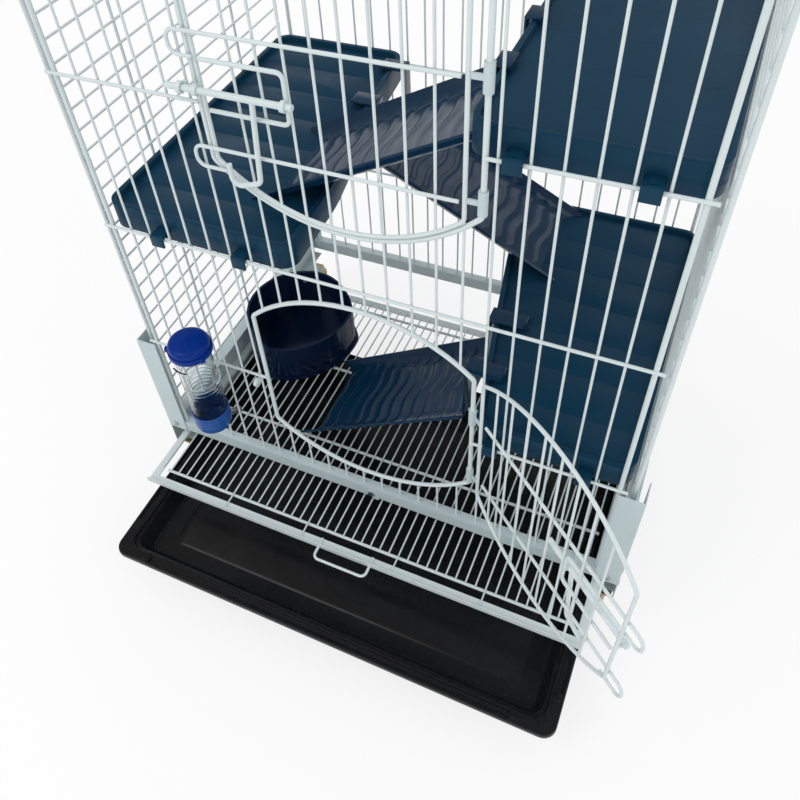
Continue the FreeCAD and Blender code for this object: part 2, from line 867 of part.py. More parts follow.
def upper_platform():
    inner = platform_half - upper_platform_width
    points = [(inner, -platform_end), (platform_half, -platform_end),
              (platform_half, platform_end), (inner, platform_end)]
    return platform(points, upper_level, right_clip_steps)


def ramp(foot_x, foot_z, run, rise, start, hook_top, hook_reach, hook_tip):
    """Ramp rising towards +X: ridged tread, two side walls and a hook at its upper end."""
    slope = rise / run
    near = -cage_depth / 2 + start
    across = Y_AXIS * ramp_width
    drop = ramp_tread * math.hypot(run, rise) / run

    def point(x, z):
        return Vector(foot_x + x, near, foot_z + z)

    tread = [point(0, 0)]
    step = run / ramp_ridge_count
    for index in range(ramp_ridge_count):
        x = (index + ridge_crest_share) * step
        tread.append(point(x, x * slope + ramp_ridge))
        x = (index + 1) * step
        tread.append(point(x, x * slope))
    tread += [point(run, rise - drop), point(drop / slope, 0)]
    shapes = [plate(tread, across)]
    wall = [point(0, 0), point(0, ramp_wall_rise), point(run, rise + ramp_wall_rise),
            point(run, rise - ramp_wall_drop), point(ramp_wall_drop / slope, 0)]
    for shift in (0, ramp_width - ramp_wall):
        side = plate(wall, Y_AXIS * ramp_wall)
        side.translate(Y_AXIS * shift)
        shapes.append(side)
    top = hook_top - foot_z + ramp_tread
    neck = [point(run - ramp_tread, rise - drop), point(run, rise - drop), point(run, top),
            point(run - ramp_tread, top)]
    hook = [point(run - ramp_tread, top - ramp_tread), point(run + hook_reach, top - ramp_tread),
            point(run + hook_reach, top), point(run - ramp_tread, top)]
    hooks = [neck, hook]
    if hook_tip:
        tip = [point(run + hook_reach - ramp_tread, top - ramp_tread - hook_tip),
               point(run + hook_reach, top - ramp_tread - hook_tip),
               point(run + hook_reach, top), point(run + hook_reach - ramp_tread, top)]
        hooks.append(tip)
    for outline in hooks:
        piece = plate(outline, Y_AXIS * (ramp_width - 2 * ramp_hook_inset))
        piece.translate(Y_AXIS * ramp_hook_inset)
        shapes.append(piece)
    return joined(shapes)


def short_hook():
    return ramp_hook_gap + platform_lip_width + free_clearance + ramp_tread


def lower_ramp():
    foot_x = lower_ramp_edge - lower_ramp_run
    return ramp(foot_x, grate_top + free_clearance, lower_ramp_run, lower_ramp_rise, lower_ramp_start,
                lower_level + rim_lift, lower_ramp_hook, 0)


def middle_ramp():
    foot_x = middle_ramp_edge - middle_ramp_run
    shape = ramp(foot_x, lower_level + deck_lift, middle_ramp_run, middle_ramp_rise,
                 middle_ramp_start, middle_level + rim_lift, middle_ramp_hook, 0)
    return mirrored_x(shape)


def upper_ramp():
    edge = platform_half - upper_platform_width - ramp_hook_gap
    return ramp(edge - upper_ramp_run, middle_level + deck_lift, upper_ramp_run, upper_ramp_rise,
                upper_ramp_start, upper_level + rim_lift, short_hook(), ramp_hook_tip)


def bowl_outline(inset, height):
    """Round back and bowed front, with the two front corners rounded."""
    radius = bowl_radius - inset
    front = bowl_front - inset
    bend = bowl_corner - inset
    hub_y = bend - front
    hub_x = math.sqrt((radius - bend) ** 2 - hub_y ** 2)
    hub = Vector(hub_x, hub_y, height)
    out = Vector(hub_x, hub_y, 0).normalize()
    on_front = hub - Y_AXIS * bend
    middle = hub + (out - Y_AXIS).normalize() * bend
    on_round = hub + out * bend

    def left(point):
        return Vector(-point.x, point.y, point.z)

    return Part.Wire([
        arc(on_front, middle, on_round),
        arc(on_round, Vector(0, radius, height), left(on_round)),
        arc(left(on_round), left(middle), left(on_front)),
        arc(left(on_front), Vector(0, -front - bowl_bulge, height), on_front),
    ])


def bowl():
    body = prism(bowl_outline(0, 0), bowl_back_height)
    foot = prism(bowl_outline(-bowl_foot, 0), bowl_foot_height)
    hollow = prism(bowl_outline(bowl_wall, bowl_floor), bowl_back_height)
    wide = 2 * bowl_radius
    slant = [Vector(-wide, -wide, bowl_front_height), Vector(-wide, -bowl_front, bowl_front_height),
             Vector(-wide, bowl_front, bowl_back_height), Vector(-wide, wide, bowl_back_height),
             Vector(-wide, wide, wide), Vector(-wide, -wide, wide)]
    cuts = [hollow, plate(slant, X_AXIS * 2 * wide)]
    for side in SIDES.values():
        turn = math.radians(bowl_hole_angle) * side
        way = Vector(math.sin(turn), math.cos(turn), 0)
        hole = Z_AXIS * (bowl_back_height - bowl_hole_drop)
        cuts.append(rod(hole + way * bowl_front, hole + way * wide, bowl_hole_radius))
    shape = joined([body, foot]).cut(cuts)
    shape.rotate(Vector(0, 0, 0), Z_AXIS, bowl_turn)
    shape.translate(Vector(bowl_x, bowl_y, grate_top))
    return shape.Solids[0]


def bottle_axis(height):
    return Vector(bottle_x, bottle_y, height)


def bottle_tube():
    low = bottle_bottom + cup_floor
    high = bottle_bottom + bottle_height - cap_wall
    outer = rod(bottle_axis(low), bottle_axis(high), tube_radius)
    return outer.cut(rod(bottle_axis(low + tube_wall), bottle_axis(high), tube_radius - tube_wall))


def bottle_cup():
    outer = rod(bottle_axis(bottle_bottom), bottle_axis(bottle_bottom + cup_height), cup_radius)
    hollow = rod(bottle_axis(bottle_bottom + cup_floor), bottle_axis(bottle_bottom + cup_height),
                 tube_radius + running_clearance)
    return outer.cut(hollow)


def bottle_cap():
    top = bottle_bottom + bottle_height
    bore = tube_radius + running_clearance
    outer = rod(bottle_axis(top - cap_height), bottle_axis(top), bore + cap_wall)
    return outer.cut(rod(bottle_axis(top - cap_height), bottle_axis(top - cap_wall), bore))


def spout_ends():
    start = bottle_axis(bottle_bottom + spout_height)
    end = start + Y_AXIS * (cup_radius + spout_reach) - Z_AXIS * spout_drop
    return start, end


def bottle_spout():
    start, end = spout_ends()
    back = (start - end).normalize()
    cup = rod(bottle_axis(bottle_bottom), bottle_axis(bottle_bottom + cup_height), cup_radius)
    return rod(start, end, spout_radius).cut([cup, rod(end, end + back * spout_bore_depth, spout_bore)])


def spout_ball():
    start, end = spout_ends()
    return Part.makeSphere(spout_bore - running_clearance, end + (start - end).normalize() * ball_set_back)


def bottle_hanger():
    """Wire bow behind the tube with two hooks over a wire of the front panel."""
    height = lower_level + bar_radius + free_clearance + hanger_radius
    ring_radius = tube_radius + free_clearance + hanger_radius
    shapes = [Part.makeTorus(ring_radius, hanger_radius, bottle_axis(height), Z_AXIS,
                             -hanger_wrap, hanger_wrap, hanger_wrap)]
    hook_plane = bar_plane + bar_radius + free_clearance + hanger_radius
    side_y = bottle_y + math.sqrt(ring_radius ** 2 - hanger_hook_half ** 2)
    for side in SIDES.values():
        x = bottle_x + side * hanger_hook_half
        path = bent_path([Vector(x, side_y, height), Vector(x, hook_plane, height),
                          Vector(x, hook_plane, height - hanger_hook_drop)], hanger_bend)
        shapes.append(swept(path, hanger_radius))
    return joined(shapes)


def build():
    pieces = {
        "front_panel": front_panel(),
        "back_panel": back_panel(),
        "right_panel": right_panel(),
        "left_panel": mirrored_x(right_panel()),
        "roof_panel": roof_panel(),
        "front_rail": end_rail(-1),
        "back_rail": end_rail(1),
        "right_rail": right_rail(),
        "left_rail": mirrored_x(right_rail()),
        "post_screws": post_screws(),
        "upper_door": door(door_shift),
        "upper_hinge_clips": hinge_clips(door_shift),
        "upper_bolt": bolt(door_shift),
        "lower_door": opened(door(0)),
        "lower_hinge_clips": opened(hinge_clips(0)),
        "lower_bolt": opened(bolt(0).translated(X_AXIS * bolt_travel)),
        "grate": grate(),
        "tray": tray(),
        "swing_catch": swing_catch(),
        "catch_rivet": catch_rivet(),
        "left_platform": left_platform(),
        "lower_platform": lower_platform(),
        "upper_platform": upper_platform(),
        "lower_ramp": lower_ramp(),
        "middle_ramp": middle_ramp(),
        "upper_ramp": upper_ramp(),
        "bowl": bowl(),
        "bottle_tube": bottle_tube(),
        "bottle_cup": bottle_cup(),
        "bottle_cap": bottle_cap(),
        "bottle_spout": bottle_spout(),
        "spout_ball": spout_ball(),
        "bottle_hanger": bottle_hanger(),
    }
    for end_name, end in ENDS.items():
        for side_name, side in SIDES.items():
            corner = end_name + "_" + side_name
            place = caster_place(side, end)
            pieces[corner + "_post"] = corner_post(side, end)
            pieces[corner + "_caster_plate"] = caster_plate(place)
            pieces[corner + "_fork"] = caster_fork(place)
            pieces[corner + "_axle"] = caster_axle(place)
            pieces[corner + "_wheel"] = caster_wheel(place)
    return pieces


os.makedirs("parts", exist_ok=True)
for node, shape in build().items():
    shape.exportStep("parts/" + node + ".step")
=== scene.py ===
"""Small animal cage: dresses the packed model and sets its studio. Laid out as an add-on."""
import json
import math

import bmesh
import bpy
from bpy.props import FloatProperty, FloatVectorProperty, IntProperty, PointerProperty
from mathutils import Euler, Matrix, Vector


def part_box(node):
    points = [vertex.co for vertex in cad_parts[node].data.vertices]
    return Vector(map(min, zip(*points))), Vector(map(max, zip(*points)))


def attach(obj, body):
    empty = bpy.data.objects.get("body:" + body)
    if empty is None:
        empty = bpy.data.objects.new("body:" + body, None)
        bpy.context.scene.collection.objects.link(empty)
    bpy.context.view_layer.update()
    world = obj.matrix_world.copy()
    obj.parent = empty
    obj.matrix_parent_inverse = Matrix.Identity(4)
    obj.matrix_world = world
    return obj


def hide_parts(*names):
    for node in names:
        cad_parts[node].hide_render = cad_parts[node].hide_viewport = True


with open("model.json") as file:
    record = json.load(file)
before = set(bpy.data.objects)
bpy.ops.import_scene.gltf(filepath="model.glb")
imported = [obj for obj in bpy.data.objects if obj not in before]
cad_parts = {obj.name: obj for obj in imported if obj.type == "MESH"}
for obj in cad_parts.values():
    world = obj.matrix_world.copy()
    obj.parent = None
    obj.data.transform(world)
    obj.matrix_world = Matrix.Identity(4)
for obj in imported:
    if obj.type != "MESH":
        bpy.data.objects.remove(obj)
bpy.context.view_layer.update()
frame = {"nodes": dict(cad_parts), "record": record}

bl_info = {
    "name": "Small Animal Cage",
    "version": (1, 0, 0),
    "blender": (4, 5, 0),
    "location": "View3D > Sidebar > Cage",
    "description": "Moulded fittings, finishes and studio for a wire cage on casters",
    "category": "Add Mesh",
}

# Settings

NEAR = 1e-5  # places nearer than this are one place
FLUSH = 1e-4  # a face as near as this to a level lies on it
MERGE = 1e-6  # doubles nearer than this are merged
FACING = 0.9  # a normal with this share along an axis looks along it
FLAT = 0.01  # faces that meet at a smaller angle than this are one face
SHARP = 0.3  # faces that meet at a larger angle than this make a corner
CLIMB = 0.002  # an edge that climbs more than this is an upright one
PIN = 0.001  # radius of the pinhole left in the middle of a turned piece
X, Z = 0, 2  # axes that faces look along


def length(name, default, description):
    return FloatProperty(name=name, description=description, default=default, min=0, unit="LENGTH",
                         precision=4)


def degrees(name, default, description):
    return FloatProperty(name=name, description=description, default=math.radians(default), subtype="ANGLE")


def amount(name, default, description, **settings):
    return FloatProperty(name=name, description=description, default=default, min=0, **settings)


def position(name, default, description):
    return FloatVectorProperty(name=name, description=description, default=default, size=3,
                               subtype="TRANSLATION", unit="LENGTH")


def count(name, default, description):
    return IntProperty(name=name, description=description, default=default, min=1)


def tint(name, default, description):
    return FloatVectorProperty(name=name, description=description, default=default, size=3, min=0, max=1,
                               subtype="COLOR")


class CageColours(bpy.types.PropertyGroup):
    """Colours of the cage's finishes."""

    wire: tint("Wire", (0.66, 0.74, 0.75), "Powder coat on the wires")
    sheet: tint("Sheet", (0.53, 0.63, 0.65), "Powder coat on rails and posts")
    shelf: tint("Shelf", (0.0045, 0.040, 0.080), "Moulded shelves")
    ramp: tint("Ramp", (0.0025, 0.027, 0.066), "Moulded ramps")
    bowl: tint("Bowl", (0.0022, 0.0125, 0.042), "Food bowl")
    tray: tint("Tray", (0.0075, 0.0075, 0.0085), "Litter tray")
    bottle: tint("Bottle cap", (0.001, 0.026, 0.22), "Cap and strap of the bottle")
    cup: tint("Bottle cup", (0.006, 0.070, 0.30), "Lower cup of the bottle")
    clear: tint("Bottle wall", (0.93, 0.95, 0.96), "Clear wall of the bottle")
    steel: tint("Steel", (0.62, 0.63, 0.64), "Screws, axles and spout")
    zinc: tint("Yellow zinc", (0.56, 0.42, 0.19), "Caster forks and plates")
    wheel: tint("Wheel", (0.55, 0.48, 0.37), "Caster wheels")


class CageShelfSizes(bpy.types.PropertyGroup):
    """Sizes of the three moulded shelves."""

    lip_width: length("Lip width", 0.006, "Width of the low lip round the deck")
    lip_height: length("Lip height", 0.005, "Height of the lip above the deck")
    corner: length("Corner radius", 0.018, "Rounding of the shelf's corners")
    wall: length("Skirt wall", 0.003, "Thickness of the skirt under the deck")
    row_pitch: length("Row pitch", 0.056, "Distance between the grooves across the deck")
    row_shift: length("Row shift", 0.0205, "Place of one groove, measured from the cage's middle")
    groove_width: length("Groove width", 0.0011, "Half width of a groove")
    groove_depth: length("Groove depth", 0.0007, "Depth of a groove")
    edge_round: length("Edge rounding", 0.0014, "Rounding of lip and skirt")
    wire_pitch: length("Wire pitch", 0.025, "Distance between two upright wires")
    wire_height: length("Wire height", 0.008, "Height of the clips' wire above the skirt's lower edge")
    clip_width: length("Clip width", 0.016, "Width of a wire clip")
    clip_drop: length("Clip drop", 0.010, "How far a clip's tip hangs down")
    clip_front: length("Clip front", 0.215, "Distance of a clip's tip from the cage's middle")
    clip_back: length("Clip back", 0.1985, "Distance of a clip's root from the cage's middle")
    clip_lip: length("Clip lip", 0.0025, "Thickness of a clip's hanging tip")
    clip_top: length("Clip top", 0.00605, "Height of a clip's top above its wire's middle")
    clip_under: length("Clip underside", 0.00205, "Height of a clip's underside above its wire's middle")
    clip_rib: length("Clip rib", 0.0008, "Height of the rib along a clip")
    clip_side: amount("Clip side", 0.55, "Share of a clip's half width that lies beside its rib")
    clip_round: length("Clip rounding", 0.0006, "Rounding of a clip's edges")


class CageRampSizes(bpy.types.PropertyGroup):
    """Sizes of the three trough shaped ramps."""

    width: length("Width", 0.138, "Width over the side walls")
    wall: length("Wall", 0.003, "Thickness of the moulding")
    wall_rise: length("Wall rise", 0.015, "Height of the side walls above the tread")
    trough: length("Trough radius", 0.021, "Rounding between the tread and a side wall")
    ridges: count("Ridges", 13, "Ridges from foot to top")
    wave: length("Ridge wave", 0.003, "How far the ridges wave to and fro along the ramp")
    ridge_height: length("Ridge height", 0.0013, "Height of a ridge")
    ridge_reach: amount("Ridge reach", 0.62, "Share of the trough's rounding that the ridges run up")
    tongue: length("Hook width", 0.024, "Width of each of the two hooks")
    hook_inset: length("Hook inset", 0.014, "How far the hooks stay inside the side walls")
    hook_round: length("Hook rounding", 0.0009, "Rounding of a hook's edges")


class CageBowlSizes(bpy.types.PropertyGroup):
    """Sizes of the food bowl."""

    middle: position("Middle", (-0.208, -0.003, 0), "Place of the bowl's middle in plan")
    turn: degrees("Turn", 55, "Turn of the bowed front to the cage's front right")
    radius: length("Radius", 0.078, "Radius of the round back")
    front: length("Front", 0.061, "Distance from the middle to the bowed front")
    bow: length("Front bow", 0.106, "Radius of the bowed front")
    corner: length("Corner radius", 0.012, "Rounding of the two front corners")
    wall: length("Wall", 0.0035, "Wall thickness")
    floor: length("Floor", 0.004, "Floor thickness")
    front_height: length("Front height", 0.062, "Height of the low front")
    back_height: length("Back height", 0.084, "Height of the round back")
    rise_end: length("Rise end", 0.05, "Distance behind the middle where the rim is at its highest")
    rim_cut: length("Rim cut", 0.0004, "How far the rim is trimmed below its height")
    foot: length("Foot", 0.004, "Reach and height of the foot")
    rim_round: length("Rim rounding", 0.0013, "Rounding of the rim")
    hole: length("Hole radius", 0.003, "Radius of the two holes in the back")
    hole_drop: length("Hole drop", 0.020, "Distance of the holes below the back's rim")
    hole_turn: degrees("Hole turn", 32, "Turn of each hole from the middle of the back")


class CageBottleSizes(bpy.types.PropertyGroup):
    """Sizes of the drinking bottle."""

    wall: length("Tube wall", 0.0015, "Wall of the clear tube")
    ribs: count("Ribs", 9, "Rings moulded round the lower half of the tube")
    rib_start: length("Rib start", 0.029, "Height of the first rib above the tube's foot")
    rib_pitch: length("Rib pitch", 0.0066, "Distance between two ribs")
    rib_depth: length("Rib depth", 0.00035, "Depth of the groove between ribs")
    floor_start: length("Floor start", 0.005, "Height where the tube's inside starts to round in")
    floor_round: length("Floor rounding", 0.004, "How far the tube's inside rounds in")
    cup_wall: length("Cup wall", 0.0015, "Wall of the lower cup")
    cup_floor: length("Cup floor", 0.003, "Floor of the lower cup")
    cup_ribs: count("Cup ribs", 3, "Rings round the lower cup")
    cup_rib_start: length("Cup rib start", 0.010, "Height of the first ring above the cup's foot")
    cup_rib_pitch: length("Cup rib pitch", 0.0052, "Distance between two rings of the cup")
    cap_inset: length("Cap inset", 0.0016, "How far the cap's side lies inside its band")
    cap_wall: length("Cap wall", 0.0023, "Wall of the cap's side")
    cap_top: length("Cap top", 0.0038, "Thickness of the cap's top")
    dome: length("Cap dome", 0.007, "Rounding of the cap's upper edge")
    dome_start: length("Dome start", 0.006, "Height of the plain side's end below the dome")
    dome_drop: length("Dome drop", 0.0012, "How far the rounded edge stays below the cap's top")
    band_low: length("Band foot", 0.001, "Height of the band's foot above the cap's lower edge")
    band_high: length("Band top", 0.008, "Height of the band's top above the cap's lower edge")
    band_sink: length("Band sink", 0.0004, "How far the band sinks into the cap")
    band_round: length("Band rounding", 0.0005, "Rounding of the band")
    nub: length("Nub", 0.005, "Reach of the nubs on the cap")
    nub_width: length("Nub width", 0.007, "Width and height of a nub")
    nub_drop: length("Nub drop", 0.011, "Distance of the nubs below the cap's top")
    nub_root: length("Nub root", 0.002, "How far a nub sinks into the cap")
    nub_taper: amount("Nub taper", 0.8, "Size of a nub's tip as a share of its root")
    nub_round: length("Nub rounding", 0.0012, "Rounding of a nub")
    tab_drop: length("Tab drop", 0.013, "How far the strap's tab hangs below the cap")
    tab_overlap: length("Tab overlap", 0.006, "How far the tab runs up the band")
    tab_thick: length("Tab thickness", 0.0018, "Thickness of the tab")
    tab_edge: length("Tab edge", 0.0004, "Width of the strip that the tab is spun from")
    tab_round: length("Tab rounding", 0.0004, "Rounding of the tab")
    tab_span: degrees("Tab span", 48, "Angle that the tab covers")
    tab_turn: degrees("Tab turn", -74, "Angle where the tab starts")


class CageTraySizes(bpy.types.PropertyGroup):
    """Sizes of the litter tray."""

    corner: length("Corner radius", 0.016, "Rounding of the rim's corners")
    rim: length("Rim width", 0.020, "Width of the flat rim")
    rim_drop: length("Rim drop", 0.0035, "Distance of the rim's face below the tray's highest point")
    rim_thick: length("Rim thickness", 0.004, "Thickness of the rim")
    slope: length("Wall slope", 0.009, "How far the walls lean in")
    wall: length("Wall", 0.0025, "Thickness of the formed sheet")
    wall_step: length("Wall step", 0.001, "Height of the straight step under the rim")
    edge_round: length("Edge rounding", 0.0006, "Rounding of the rim's steps")
    ridge: length("Ridge width", 0.004, "Width of the ridge on the rim's edge")
    ridge_side: amount("Ridge side", 0.2, "Share of the ridge's width that its outer side leans")
    ridge_rise: length("Ridge rise", 0.003, "Height of the ridge")
    ridge_fall: length("Ridge fall", 0.0006, "How far the ridge's inner side leans")
    lip_fall: length("Lip fall", 0.0006, "How far the rim falls at the well's edge")
    pad: length("Corner pad", 0.052, "Length of a corner pad along each side")
    pad_inset: length("Pad inset", 0.0008, "How far a pad stays inside the rim's edge")
    pad_gap: length("Pad gap", 0.0045, "How far a pad stays away from the well")
    pad_lift: length("Pad lift", 0.0002, "Height of a pad's underside above the rim's underside")
    pad_round: length("Pad rounding", 0.005, "Rounding of a pad's ends in plan")
    pad_edge: length("Pad edge", 0.0008, "Rounding of a pad's edges")
    nub: length("Nub radius", 0.0035, "Radius of the nubs on the pads")


class CageCasterSizes(bpy.types.PropertyGroup):
    """Sizes of the caster wheels and the corner screws."""

    shoulder: length("Tyre shoulder", 0.0045, "Rounding of the tyre's shoulders")
    shoulder_flat: amount("Shoulder flatness", 0.8, "Depth of the shoulder as a share of its height")
    bore: length("Bore radius", 0.00305, "Radius of the wheel's bore")
    hub: length("Hub radius", 0.0085, "Radius of the raised hub")
    edge: length("Edge rounding", 0.0006, "Rounding of the hub's and the tyre's inner edge")
    recess: length("Web recess", 0.0018, "How deep the web lies inside the tyre")
    tyre: length("Tyre depth", 0.0056, "Depth of the tyre over the web")
    tyre_step: length("Tyre step", 0.0004, "Depth of the step inside the tyre's edge")
    seam: length("Tyre seam", 0.0004, "Half width of the line round the tyre's middle")
    seam_rise: length("Seam rise", 0.0002, "How far that line stands out")
    shank: length("Screw shank", 0.002, "Radius of a screw's shank")
    shank_depth: length("Shank depth", 0.006, "Depth of a screw's shank")
    screw_head: length("Screw head radius", 0.004, "Radius of a screw head")
    screw_rise: length("Screw head height", 0.0024, "Height of a screw head")
    screw_tip: length("Screw head tip", 0.0004, "Radius of the flat on top of a screw head")
    cross: length("Cross width", 0.0009, "Width of the cross in a screw head")
    cross_reach: amount("Cross reach", 0.55, "Reach of the cross as a share of the head's radius")
    cross_floor: amount("Cross floor", 0.45, "Height of the cross's floor as a share of the head's height")


class CageStudio(bpy.types.PropertyGroup):
    """Floor, lamps and camera."""

    floor: tint("Floor", (0.93, 0.93, 0.93), "Colour of the floor")
    floor_size: length("Floor size", 30, "Length of the floor's sides")
    white: amount("White floor", 0.76, "Share of plain white that the camera sees on the floor", max=1,
                  subtype="FACTOR")
    mirror: amount("Mirrored sky", 0.30, "Strength of the sky in glossy surfaces")
    sky: amount("Sky", 0.80, "Strength of the soft light from all round")
    key: amount("Key lamp", 30, "Power of the large lamp", unit="POWER")
    fill: amount("Fill lamp", 12, "Power of the second lamp", unit="POWER")
    gloss: amount("Gloss lamps", 2.5, "Power of each lamp behind that glints on the mouldings", unit="POWER")
    aim: position("Lamps' aim", (0, -0.1, 0.35), "Point that every lamp looks at")
    lens: amount("Lens", 35.81, "Focal length in millimetres")
    sensor: amount("Sensor", 36, "Width of the camera's sensor in millimetres")


# Modelling tools


def only(piece):
    """Select this piece alone and make it active."""
    bpy.ops.object.select_all(action="DESELECT")
    piece.select_set(True)
    bpy.context.view_layer.objects.active = piece


def begin(name, add, **settings):
    """Add a primitive with nothing else selected."""
    bpy.ops.object.select_all(action="DESELECT")
    add(**settings)
    piece = bpy.context.active_object
    piece.name = name
    return piece


def settle(piece, place=(0, 0, 0), turn=(0, 0, 0)):
    """Move and turn the piece, then put its place into its mesh."""
    only(piece)
    piece.matrix_world = Matrix.LocRotScale(Vector(place), None, None) @ \
        Matrix.LocRotScale(None, Euler(turn), None) @ piece.matrix_world
    bpy.ops.object.transform_apply(location=True, rotation=True, scale=True)
    return piece


def block(name, low, high):
    low = Vector(low)
    high = Vector(high)
    piece = begin(name, bpy.ops.mesh.primitive_cube_add, size=1, location=(low + high) / 2)
    piece.scale = high - low
    return settle(piece)


def climbs(edge, least=CLIMB):
    """Whether an edge goes up by more than this."""
    return abs(edge.verts[0].co.z - edge.verts[1].co.z) > least


class Editing:
    """Edit mode on one piece, with its corners, edges or faces picked by a test."""

    modes = {"verts": "VERT", "edges": "EDGE", "faces": "FACE"}

    def __init__(self, piece):
        self.piece = piece

    def __enter__(self):
        only(self.piece)
        bpy.ops.object.mode_set(mode="EDIT")
        bpy.ops.mesh.select_mode(type="VERT")
        bpy.ops.mesh.select_all(action="SELECT")
        return self

    def __exit__(self, kind, value, trace):
        bpy.ops.object.mode_set(mode="OBJECT")

    def pick(self, part, test):
        bpy.ops.mesh.select_mode(type=self.modes[part])
        bpy.ops.mesh.select_all(action="DESELECT")
        shape = bmesh.from_edit_mesh(self.piece.data)
        shape.normal_update()
        found = [item for item in getattr(shape, part) if test(item)]
        if not found:
            raise RuntimeError(f"{self.piece.name}: no {part} picked")
        for item in found:
            item.select_set(True)
        shape.select_flush_mode()
        bmesh.update_edit_mesh(self.piece.data)

    def faces_at(self, axis, way, place):
        """Faces that look along the axis and lie at the place on it."""
        self.pick("faces", lambda face: face.normal[axis] * way > FACING
                  and abs(face.calc_center_median()[axis] - place) < FLUSH)

    def move(self, x=0, y=0, z=0):
        bpy.ops.transform.translate(value=(x, y, z))

    def extrude(self, x=0, y=0, z=0):
        bpy.ops.mesh.extrude_region_move(TRANSFORM_OT_translate={"value": (x, y, z)})

    def widen(self, x, y, z, centre):
        bpy.ops.transform.resize(value=(x, y, z), center_override=centre)

    def cut(self, place, way, **settings):
        bpy.ops.mesh.bisect(plane_co=place, plane_no=way, **settings)

    def outward(self):
        bpy.ops.mesh.select_all(action="SELECT")
        bpy.ops.mesh.remove_doubles(threshold=MERGE)
        bpy.ops.mesh.normals_make_consistent(inside=False)


def finished(piece, kind, **settings):
    """Add one modifier and apply it."""
    only(piece)
    modifier = piece.modifiers.new(kind.title(), kind)
    for name, value in settings.items():
        setattr(modifier, name, value)
    bpy.ops.object.modifier_apply(modifier=modifier.name)


def rounded(piece, width, steps=2, angle=50):
    finished(piece, "BEVEL", width=width, segments=steps, limit_method="ANGLE",
             angle_limit=math.radians(angle))


def carved(piece, tool, operation="DIFFERENCE"):
    """Cut the tool from the piece, or melt it on, and remove the tool."""
    finished(piece, "BOOLEAN", object=tool, operation=operation, solver="EXACT")
    bpy.data.objects.remove(tool)


def smooth(piece, angle=40):
    only(piece)
    bpy.ops.object.shade_smooth_by_angle(angle=math.radians(angle))


def joined(pieces):
    bpy.ops.object.select_all(action="DESELECT")
    for piece in pieces:
        piece.select_set(True)
    bpy.context.view_layer.objects.active = pieces[0]
    bpy.ops.object.join()
    return pieces[0]


def copied(piece, place=(0, 0, 0), turn=(0, 0, 0)):
    """A copy with its own mesh, turned about the origin and moved."""
    only(piece)
    bpy.ops.object.duplicate(linked=False)
    return settle(bpy.context.active_object, place, turn)


def rings_of(table, radius, level):
    """Rings of a turned piece from a table of insets and rises."""
    return [(radius - inset, level + rise) for inset, rise in table]


def turned(name, rings, closed=False, sides=72):
    """Turn a piece on the Z axis: a circle, extruded and widened ring by ring."""
    radius, height = rings[0]
    piece = begin(name, bpy.ops.mesh.primitive_circle_add, vertices=sides, radius=radius,
                  location=(0, 0, height), fill_type="NOTHING")
    settle(piece)
    with Editing(piece) as edit:
        for (last, low), (wide, high) in zip(rings, rings[1:]):
            edit.extrude(z=high - low)
            edit.widen(wide / last, wide / last, 1, (0, 0, high))
        edit.pick("edges", lambda edge: edge.is_boundary)
        if closed:
            bpy.ops.mesh.bridge_edge_loops()
        else:
            bpy.ops.mesh.edge_face_add()
        edit.outward()
    return piece


def dressed(piece, finish, body, slot, *nodes):
    """Give the piece its finish and tie it to the frame."""
    piece.data.materials.clear()
    piece.data.materials.append(finish)
    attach(piece, body)
    if nodes:
        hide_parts(*nodes)


# Finishes


class Link:
    """An output socket that can stand in plain sums."""

    def __init__(self, finish, socket):
        self.finish = finish
        self.socket = socket

    def sum(self, operation, first, second):
        return self.finish.node("ShaderNodeMath", {"operation": operation}, {0: first, 1: second})

    def __add__(self, other):
        return self.sum("ADD", self, other)

    def __mul__(self, other):
        return self.sum("MULTIPLY", self, other)

    __radd__ = __add__
    __rmul__ = __mul__


class Finish:
    """A node tree for one finish."""

    def __init__(self, tree):
        self.tree = tree
        self.tree.nodes.clear()

    def node(self, kind, settings=None, sockets=None, out=0):
        made = self.tree.nodes.new(kind)
        for name, value in (settings or {}).items():
            if name == "stops":
                for stop, (place, grey) in zip(made.color_ramp.elements, value):
                    stop.position = place
                    stop.color = (grey, grey, grey, 1)
            else:
                setattr(made, name, value)
        for key, value in (sockets or {}).items():
            if isinstance(value, Link):
                self.tree.links.new(value.socket, made.inputs[key])
            else:
                made.inputs[key].default_value = value
        return Link(self, made.outputs[out])

    def place(self, stretch=(1, 1, 1)):
        """Object coordinates, stretched."""
        point = self.node("ShaderNodeTexCoord", out="Object")
        return self.node("ShaderNodeMapping", None, {"Vector": point, "Scale": stretch})

    def noise(self, scale, detail=2, roughness=0.5, stretch=(1, 1, 1)):
        return self.node("ShaderNodeTexNoise", None, {
            "Vector": self.place(stretch), "Scale": scale, "Detail": detail, "Roughness": roughness})

    def ramp(self, value, low, high):
        """0 below low, 1 above high."""
        return self.node("ShaderNodeValToRGB", {"stops": ((low, 0), (high, 1))}, {"Fac": value})

    def blend(self, share, first, second):
        """Mix two colours, by the numbers that a Mix node's colour sockets have."""
        return self.node("ShaderNodeMix", {"data_type": "RGBA"}, {0: share, 6: first, 7: second}, out=2)

    def relief(self, height, strength, distance):
        return self.node("ShaderNodeBump", None, {
            "Strength": strength, "Distance": distance, "Height": height})

    def close(self, surface, kind):
        made = self.tree.nodes.new(kind)
        self.tree.links.new(surface.socket, made.inputs["Surface"])


def new_finish(name):
    material = bpy.data.materials.new(name)
    material.use_nodes = True
    return material, Finish(material.node_tree)


def shade(colour, factor):
    return (*[min(1, part * factor) for part in colour], 1)


